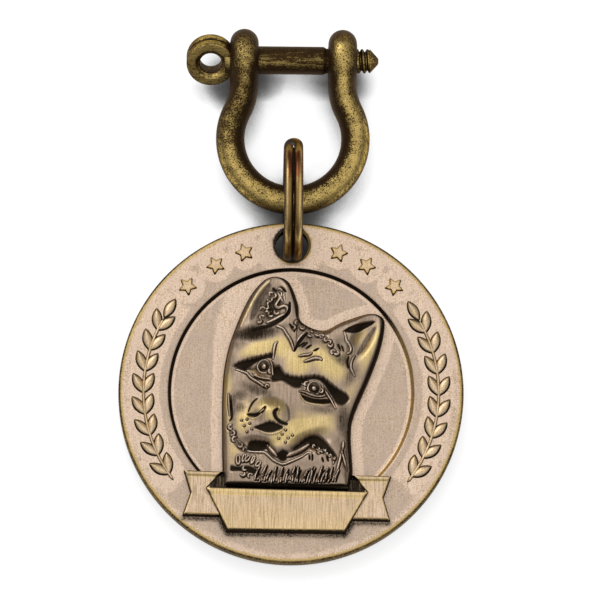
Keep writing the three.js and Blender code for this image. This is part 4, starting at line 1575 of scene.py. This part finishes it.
def rod_body(sizes):
    """A round rod bent to a bow with two straight legs, which grow deeper towards the eyes."""
    outer = sizes.leg_offset + sizes.leg_bend
    bend_height = sizes.bow_radius + math.sqrt((sizes.bow_radius + sizes.leg_bend) ** 2 - outer**2)
    lean = math.atan2(bend_height - sizes.bow_radius, outer)
    bm = bmesh.new()
    upright = Matrix.Translation((-sizes.leg_offset, PIN_REACH, 0)) @ Matrix.Rotation(QUARTER_TURN, 4, "X")
    bmesh.ops.create_circle(bm, cap_ends=False, segments=ROD_SIDES, radius=sizes.rod_radius, matrix=upright)

    def extended(geom, distance):
        edges = of_kind(bmesh.types.BMEdge, geom)
        made = bmesh.ops.extrude_edge_only(bm, edges=edges)["geom"]
        verts = of_kind(bmesh.types.BMVert, made)
        bmesh.ops.translate(bm, verts=verts, vec=(0, distance, 0))
        ends = set(verts)
        return verts + [edge for edge in of_kind(bmesh.types.BMEdge, made) if set(edge.verts) <= ends]

    def bent(geom, centre, angle, steps):
        made = bmesh.ops.spin(bm, geom=geom, cent=(*centre, 0), axis=(0, 0, 1), angle=angle, steps=steps)
        return made["geom_last"]

    last = extended(bm.verts[:] + bm.edges[:], bend_height - PIN_REACH)
    last = bent(last, (-outer, bend_height), -lean, BEND_STEPS)
    last = bent(last, (0, sizes.bow_radius), math.pi + 2 * lean, BOW_STEPS)
    last = bent(last, (outer, bend_height), -lean, BEND_STEPS)
    extended(last, PIN_REACH - bend_height)
    closed(bm)
    for vert in bm.verts:
        vert.co.z *= 1 + float(smoothstep(sizes.bow_radius, PIN_REACH, vert.co.y))
    return bm


def eye_body(sizes):
    """A round eye with a half-round rim."""
    rod = sizes.rod_radius
    flat_radius = sizes.eye_radius - rod
    angles = [math.pi * (step / EYE_RIM_STEPS - 0.5) for step in range(EYE_RIM_STEPS + 1)]
    rim = [(flat_radius + rod * math.cos(angle), rod * math.sin(angle)) for angle in angles]
    return lathe([(0, -rod), *rim, (0, rod)], EYE_SIDES)


def bow_body(sizes):
    """The rod and its two eyes as one forging, with a bore through each eye."""
    eyes = [(eye_body(sizes), eye_frame(sizes, side)) for side in (-1, 1)]
    skin = fused(gathered([(rod_body(sizes), Matrix()), *eyes]), SKIN_VOXEL)
    reach = EYE_BORE_REACH
    for side, radius in ((-1, sizes.plain_bore), (1, sizes.thread_bore)):
        tool = lathe([(0, -reach), (radius, -reach), (radius, reach), (0, reach)], EYE_SIDES)
        tool.transform(eye_frame(sizes, side))
        skin = bored(skin, tool)
    return skin


def bow_finish(sizes):
    """Bright on top as painted highlight and rubbed bright round the outside of the bow, duller on the left
    leg, dark at the sides as painted shade, and reddish at the tops of the eyes."""

    def paint(points, normals):
        x = points[:, 0]
        y = points[:, 1]
        from_middle = y - sizes.bow_radius
        outward = (normals[:, 0] * x + normals[:, 1] * from_middle) / (np.hypot(x, from_middle) + TINY)
        lean = 0.5 * smoothstep(PIN_REACH - 6 * MM, sizes.bow_radius, y)
        # Bright on top as painted highlight, leaning towards the outside of the bow where it is rubbed
        crest = (normals[:, 2] + lean * outward) / np.sqrt(1 + lean**2)
        copper = smoothstep(PIN_REACH + 1.2 * MM, PIN_REACH + 3.4 * MM, y)
        above_bow = smoothstep(5 * MM, 10 * MM, y)
        leg = above_bow * smoothstep(PIN_REACH, PIN_REACH - 4 * MM, y)
        dull = smoothstep(2 * MM, -6 * MM, x) * (0.12 * above_bow + 0.13 * leg)
        # Painted shade at the sides of the rod, away from the top
        dark = 0.43 + dull + 0.57 * smoothstep(0.98, 0.42, crest)
        return dark, smoothstep(0.4, 0.98, crest) * (1 - 0.75 * copper), copper

    return paint


# The pin

PIN_SIDES = 64
PIN_STEM = 0.75 * MM
SHANK_CHAMFER = 0.4 * MM
SHANK_PLAY = 0.3 * MM
THREAD_RUN_IN = 0.25 * MM
THREAD_TURNS = 1.8
TIP_LENGTH = 1.4 * MM
EYE_HEAD_SIDES = 96
EYE_HEAD_OFFSET = 2.8 * MM
EYE_HEAD_MOUTH = 2.15 * MM
EYE_HEAD_THROAT = 1.6 * MM
EYE_HEAD_GROOVE = 0.4 * MM
EYE_HEAD_ROUND = 0.2 * MM


def eye_face(sizes):
    """From the middle of the jaw to the outer face of an eye."""
    return sizes.leg_offset + sizes.rod_radius


def pin_shank(sizes):
    """The shank along X, its thread a screw line worked into the round."""
    start = -eye_face(sizes) - PIN_STEM
    shank_end = sizes.leg_offset - sizes.rod_radius - SHANK_PLAY
    chamfer_start = shank_end - SHANK_CHAMFER
    thread_start = eye_face(sizes) + SHANK_PLAY
    run_in = thread_start - THREAD_RUN_IN
    thread_end = thread_start + THREAD_TURNS * sizes.thread_pitch
    tip = thread_end + TIP_LENGTH
    stations = np.concatenate([
        np.linspace(start, chamfer_start, 24),
        np.linspace(chamfer_start, shank_end, 6)[1:],
        np.linspace(shank_end, run_in, 12)[1:],
        np.linspace(run_in, thread_end, 60)[1:],
        np.linspace(thread_end, tip, 16)[1:],
    ])
    rows = len(stations) + 1
    cone_stations = [thread_end, thread_end + 0.15 * MM, tip - 0.12 * MM, tip]
    cone_radii = [1.45 * MM, 1.78 * MM, 0.55 * MM, 0.35 * MM]

    def place(across, along):
        row = np.rint(along * rows).astype(int)
        x = stations[np.clip(row - 1, 0, len(stations) - 1)]
        plain = np.interp(x, [chamfer_start, shank_end], [sizes.shank_radius, sizes.thread_radius])
        phase = (x - thread_start) / sizes.thread_pitch - across
        groove = sizes.thread_depth * (0.5 + 0.5 * np.cos(FULL_TURN * phase)) ** 1.5
        body = plain - groove * smoothstep(run_in, thread_start + 0.1 * MM, x)
        radius = np.where(x > thread_end, np.interp(x, cone_stations, cone_radii), body)
        radius = np.where((row == 0) | (row == rows), 0, radius)
        return x, radius * np.cos(FULL_TURN * across), radius * np.sin(FULL_TURN * across)

    return woven(PIN_SIDES, rows, place)


def pin_head(sizes):
    """The eye head: a ring with a groove round its rim and a mouth that narrows to the middle."""
    half = sizes.pin_head_thickness / 2
    rim = sizes.pin_head_radius
    mouth = EYE_HEAD_MOUTH
    throat = EYE_HEAD_THROAT
    upper = [
        (throat, half - 0.55 * MM),
        (throat + 0.25 * MM, half - 0.5 * MM),
        (mouth, half - 0.1 * MM),
        (mouth + 0.25 * MM, half),
        (rim - 0.1 * MM, half),
        (rim, half - 0.5 * MM),
        (rim, EYE_HEAD_GROOVE),
    ]
    lower = [(radius, -height) for radius, height in reversed(upper)]
    section = [(throat, 0), *upper, (rim - EYE_HEAD_GROOVE, 0), *lower, (throat, 0)]
    return lathe(filleted(section, EYE_HEAD_ROUND, 4)[:-1], EYE_HEAD_SIDES, loop=True)


def pin_head_frame(sizes):
    centre = -eye_face(sizes) - EYE_HEAD_OFFSET
    return Matrix.Translation((centre, 0, 0)) @ Matrix.Rotation(sizes.pin_head_turn, 4, "X")


def pin_body(sizes):
    return gathered([(pin_shank(sizes), Matrix()), (pin_head(sizes), pin_head_frame(sizes))])


def pin_finish(sizes):
    """Dark brown, with a painted highlight along the top and painted shade on the sides of shank and head,
    lighter on the side that faces the bow and at the threaded end, and a blackened groove and bore in the
    head.
    """
    to_head = np.array(pin_head_frame(sizes).inverted())

    def paint(points, normals):
        crest = normals[:, 2]
        local = points @ to_head[:3, :3].T + to_head[:3, 3]
        out = np.hypot(local[:, 0], local[:, 1])
        on_head = points[:, 0] < -eye_face(sizes)
        on_rim = (out > 0.75 * sizes.pin_head_radius) * on_head
        groove = smoothstep(0.5 * MM, 0.25 * MM, np.abs(local[:, 2])) * on_rim
        bore = smoothstep(2.0 * MM, 1.7 * MM, out) * on_head
        worn = 0.16 * smoothstep(0.2, -0.3, normals[:, 1]) + 0.25 * (points[:, 0] > eye_face(sizes))
        # Painted shade on the sides of shank and head; the worn channel below is a painted highlight along
        # the top
        shank = 0.86 - worn + 0.25 * smoothstep(0.95, 0.4, crest)
        head = 0.5 + 0.4 * smoothstep(0.7, 0.0, crest)
        dark = most(np.where(on_head, head, shank), groove, 0.85 * bore)
        return dark, smoothstep(0.3, 0.95, crest), 0

    return paint


# Operators, one for each piece or group of like pieces

TAG_TINTS = ("tag_body", "tag_gilt", "tag_pale", "patina")
RELIEF_TINTS = ("relief_body", "relief_gilt", "relief_pale", "patina")
RIBBON_TINTS = ("ribbon_body", "ribbon_gilt", "tag_pale", "patina")
RING_TINTS = ("ring_body", "ring_gilt", "shackle_copper", "brown")
SHACKLE_TINTS = ("shackle_body", "shackle_gilt", "shackle_copper", "brown")


class DOGTAG_OT_disc(bpy.types.Operator):
    """Turn the disc with its sunk field and bore its hole"""

    bl_idname = "dogtag.disc"
    bl_label = "Struck disc"

    def execute(self, context):
        sizes = settings().disc
        material = brass(
            "rose_bronze", TAG_TINTS, grain=(0.2 * MM, 1.2, 0.25), brush=(0.1 * MM, 0.25, 0.1),
            mottle=(2.4 * MM, 0.8), shine=(0.4, 0.5), bump=0.008 * MM, metal=0.85,
        )
        body = disc_body(sizes)
        paint = disc_finish(sizes, settings().relief)
        finished("struck_disc", body, TAG_FRAME, material, paint, "tag", "tag_disc", crease=40)
        return {"FINISHED"}


class DOGTAG_OT_ornament(bpy.types.Operator):
    """Strike the six stars and the two laurel branches on the band"""

    bl_idname = "dogtag.ornament"
    bl_label = "Stars and laurel"

    def execute(self, context):
        sizes = settings().disc
        material = brass(
            "struck_edges", TAG_TINTS, grain=(0.18 * MM, 0.3, 0.25), brush=(0.1 * MM, 0.2, 0.1),
            mottle=(1.5 * MM, 0.6), shine=(0.3, 0.5), bump=0.006 * MM,
        )
        stars = gathered([(star_body(sizes), place) for place in star_places(sizes)])
        paint = ornament_finish(sizes, STAR_FLAT)
        finished("struck_stars", stars, TAG_FRAME, material, paint, "tag", crease=30)
        parts = []
        for side in (Matrix(), MIRROR):
            parts += [(leaf_body(sizes), side @ place) for place in leaf_places(sizes)]
            parts.append((stem_body(sizes), side))
        branches = gathered(parts)
        paint = ornament_finish(sizes, LEAF_FLAT)
        finished("laurel_branches", branches, TAG_FRAME, material, paint, "tag", crease=50)
        return {"FINISHED"}


class DOGTAG_OT_head(bpy.types.Operator):
    """Sculpt the dog's head as rings drawn in from its outline"""

    bl_idname = "dogtag.head"
    bl_label = "Dog's head"

    def execute(self, context):
        sizes = settings().relief
        disc = settings().disc
        material = brass(
            "brushed_relief", RELIEF_TINTS, grain=(0.16 * MM, 0.5, 0.2), brush=(0.12 * MM, 0.7, 0.25),
            mottle=(0.5 * MM, 0.4), shine=(0.36, 0.48), bump=0.02 * MM,
        )
        body = head_body(sizes, disc)
        paint = head_finish(sizes, disc)
        finished("cast_dog_head", body, TAG_FRAME, material, paint, "tag", "dog_head")
        return {"FINISHED"}


class DOGTAG_OT_ribbon(bpy.types.Operator):
    """Lay the ribbon's panel, tails and folds below the head"""

    bl_idname = "dogtag.ribbon"
    bl_label = "Ribbon"

    def execute(self, context):
        sizes = settings().relief
        disc = settings().disc
        material = brass(
            "brushed_ribbon", RIBBON_TINTS, grain=(0.16 * MM, 0.7, 0.2), brush=(0.12 * MM, 0.9, 0.35),
            mottle=(2 * MM, 0.5), shine=(0.32, 0.5), bump=0.012 * MM,
        )
        body = ribbon_body(sizes, disc)
        place = TAG_FRAME @ ribbon_place(sizes)
        paint = ribbon_finish(sizes, disc)
        finished("folded_ribbon", body, place, material, paint, "tag", "ribbon", crease=45)
        return {"FINISHED"}


class DOGTAG_OT_ring(bpy.types.Operator):
    """Wind the split ring"""

    bl_idname = "dogtag.ring"
    bl_label = "Split ring"

    def execute(self, context):
        sizes = settings().links
        material = brass(
            "ring_wire", RING_TINTS, grain=(0.2 * MM, 0.8, 0.3), brush=(0.15 * MM, 0.1, 0),
            mottle=(1 * MM, 0.5), shine=(0.25, 0.42), bump=0.008 * MM,
        )
        body = ring_body(sizes)
        place = RING_FRAME @ Matrix.Rotation(sizes.ring_turn, 4, "X")
        paint = ring_finish(sizes)
        finished("wound_ring", body, place, material, paint, "ring", "split_ring", crease=50)
        return {"FINISHED"}


class DOGTAG_OT_shackle(bpy.types.Operator):
    """Bend the bow with its two eyes and turn the screw pin"""

    bl_idname = "dogtag.shackle"
    bl_label = "Shackle and pin"

    def execute(self, context):
        sizes = settings().links
        aged = brass(
            "antique_brass", SHACKLE_TINTS, grain=(0.2 * MM, 2.5, 0.75), brush=(0.2 * MM, 0.1, 0),
            mottle=(1.2 * MM, 1.2), shine=(0.2, 0.5), bump=0.03 * MM,
        )
        drawn = brass(
            "drawn_brass", SHACKLE_TINTS, grain=(0.2 * MM, 1.2, 0.4), brush=(0.16 * MM, 1.7, 0.7),
            mottle=(1.2 * MM, 0.9), shine=(0.22, 0.5), bump=0.02 * MM, strokes=(16, 1, 1),
        )
        bow = bow_body(sizes)
        place = SHACKLE_FRAME
        paint = bow_finish(sizes)
        finished("forged_bow", bow, place, aged, paint, "shackle", "shackle_bow", crease=40)
        pin = pin_body(sizes)
        place = SHACKLE_FRAME @ Matrix.Translation((0, PIN_REACH, 0))
        paint = pin_finish(sizes)
        finished("screw_pin", pin, place, drawn, paint, "pin", "shackle_pin", crease=35)
        return {"FINISHED"}


# The stage

TABLE_HALF = 2
SHADE_SAMPLES = 16

# Shade close to the links: the side that it is open to, its reach, how much of the sky is left where it is
# deepest and where it ends, and how it comes in along the table
NEAR_OPEN_TO = (-0.12, 0.8, 0.58)
NEAR_REACH = 0.0048
NEAR_RANGE = (0.5, 0.82)
NEAR_FROM_TO = (0.002, 0.008)
NEAR_WEIGHTS = (0.15, 1.0)

# Shade right under things
UNDER_REACH = 0.011
UNDER_RANGE = (0.28, 0.5)

HORIZON_HEIGHT = 0.2
HORIZON_SHARE = 0.2
KEY_PLACE = (-0.45, 0.55, 0.6)
KEY_SIZE = 0.6
SENSOR_WIDTH = 36
CLIP_START = 0.01
CLIP_END = 20


def softbox(name, place, size, power):
    """A square lamp that faces the tag."""
    lamp = bpy.data.lights.new(name, "AREA")
    lamp.shape = "SQUARE"
    lamp.size = size
    lamp.energy = power
    obj = placed(name, lamp)
    obj.location = place
    obj.rotation_mode = "QUATERNION"
    obj.rotation_quaternion = Vector(place).to_track_quat("Z", "Y")
    obj.visible_camera = False


def white_floor(look):
    """A matt table that is white to the eye and keeps the shadows."""
    material = bpy.data.materials.new("table")
    material.use_nodes = True
    nodes = Nodes(material.node_tree)
    rays = nodes.add("ShaderNodeLightPath").outputs
    seen = nodes.sum(rays["Is Camera Ray"], rays["Is Glossy Ray"], rays["Is Transmission Ray"])
    matt = nodes.add("ShaderNodeBsdfDiffuse", {"Color": opaque(look.floor_colour)})

    def sky_left(inputs):
        """How much of the sky a point of the table sees."""
        return nodes.add("ShaderNodeAmbientOcclusion", inputs, samples=SHADE_SAMPLES).outputs["AO"]

    open_to = nodes.add("ShaderNodeCombineXYZ", dict(enumerate(NEAR_OPEN_TO))).outputs[0]
    near = sky_left({"Distance": NEAR_REACH, "Normal": open_to})
    under = sky_left({"Distance": UNDER_REACH})
    place = nodes.add("ShaderNodeTexCoord").outputs["Object"]
    up_table = nodes.add("ShaderNodeSeparateXYZ", {0: place}).outputs["Y"]
    weight = nodes.ramped(up_table, *NEAR_FROM_TO, *NEAR_WEIGHTS)
    blocked = nodes.scaled(nodes.ramped(near, *NEAR_RANGE, 1.0, 0.0), weight)
    free = nodes.scaled(nodes.sum(nodes.scaled(blocked, -1.0), 1.0), nodes.ramped(under, *UNDER_RANGE))
    lift = nodes.scaled(nodes.scaled(seen, look.floor_lift), free)
    glow = nodes.add("ShaderNodeEmission", {"Strength": lift})
    both = nodes.add("ShaderNodeAddShader", {0: matt.outputs[0], 1: glow.outputs[0]})
    nodes.add("ShaderNodeOutputMaterial", {"Surface": both.outputs[0]})
    bm = bmesh.new()
    bmesh.ops.create_grid(bm, x_segments=1, y_segments=1, size=TABLE_HALF)
    table = held(bm, "table_top")
    table.data.materials.append(material)


def studio_sky(look):
    """Light from all round, white overhead and dim near the horizon."""
    world = bpy.data.worlds.new("studio")
    bpy.context.scene.world = world
    world.use_nodes = True
    nodes = Nodes(world.node_tree)
    heading = nodes.add("ShaderNodeTexCoord").outputs["Generated"]
    height = nodes.add("ShaderNodeSeparateXYZ", {0: heading}).outputs["Z"]
    dim = HORIZON_SHARE * look.sky_strength
    level = nodes.ramped(height, HORIZON_HEIGHT, 1.0, dim, look.sky_strength)
    sky = nodes.add("ShaderNodeBackground", {"Strength": level})
    nodes.add("ShaderNodeOutputWorld", {"Surface": sky.outputs[0]})


def studio_camera(look):
    """A camera turned round its target, with the picture rolled about the line of sight."""
    azimuth = look.azimuth
    elevation = look.elevation
    back = Vector((
        math.sin(azimuth) * math.cos(elevation),
        -math.cos(azimuth) * math.cos(elevation),
        math.sin(elevation),
    ))
    level = Vector((math.cos(azimuth), math.sin(azimuth), 0))
    across = level * math.cos(look.roll) + back.cross(level) * math.sin(look.roll)
    upward = back.cross(across)
    camera = bpy.data.cameras.new("camera")
    camera.lens = look.lens
    camera.sensor_width = SENSOR_WIDTH
    camera.clip_start = CLIP_START
    camera.clip_end = CLIP_END
    obj = placed("camera", camera)
    obj.rotation_mode = "QUATERNION"
    obj.rotation_quaternion = Matrix((across, upward, back)).transposed().to_quaternion()
    obj.location = Vector(look.target) + back * look.distance
    bpy.context.scene.camera = obj


class DOGTAG_OT_stage(bpy.types.Operator):
    """Set the table, the light and the camera"""

    bl_idname = "dogtag.stage"
    bl_label = "Stage"

    def execute(self, context):
        look = settings().stage
        white_floor(look)
        studio_sky(look)
        softbox("key_softbox", KEY_PLACE, KEY_SIZE, look.key_power)
        studio_camera(look)
        context.scene.view_settings.view_transform = "Standard"
        return {"FINISHED"}


class DOGTAG_PT_panel(bpy.types.Panel):
    """Sizes, colours and steps of the dog tag"""

    bl_idname = "DOGTAG_PT_panel"
    bl_label = "Dog tag"
    bl_space_type = "VIEW_3D"
    bl_region_type = "UI"
    bl_category = "Dog tag"

    def draw(self, context):
        for group in DogTagSettings.__annotations__:
            box = self.layout.box()
            values = getattr(settings(), group)
            for name in values.__annotations__:
                box.prop(values, name)
        for operator in OPERATORS:
            self.layout.operator(operator.bl_idname)


OPERATORS = [
    DOGTAG_OT_disc, DOGTAG_OT_ornament, DOGTAG_OT_head, DOGTAG_OT_ribbon, DOGTAG_OT_ring, DOGTAG_OT_shackle,
    DOGTAG_OT_stage,
]
GROUPS = [DiscSizes, ReliefSizes, LinkSizes, Finishes, StageSettings, DogTagSettings]
CLASSES = [*GROUPS, *OPERATORS, DOGTAG_PT_panel]


def register():
    for made in CLASSES:
        bpy.utils.register_class(made)
    bpy.types.Scene.dog_tag = PointerProperty(type=DogTagSettings)


def unregister():
    del bpy.types.Scene.dog_tag
    for made in reversed(CLASSES):
        bpy.utils.unregister_class(made)


def main():
    register()
    bpy.ops.dogtag.disc()
    bpy.ops.dogtag.ornament()
    bpy.ops.dogtag.head()
    bpy.ops.dogtag.ribbon()
    bpy.ops.dogtag.ring()
    bpy.ops.dogtag.shackle()
    bpy.ops.dogtag.stage()


if __name__ == "__main__":
    main()
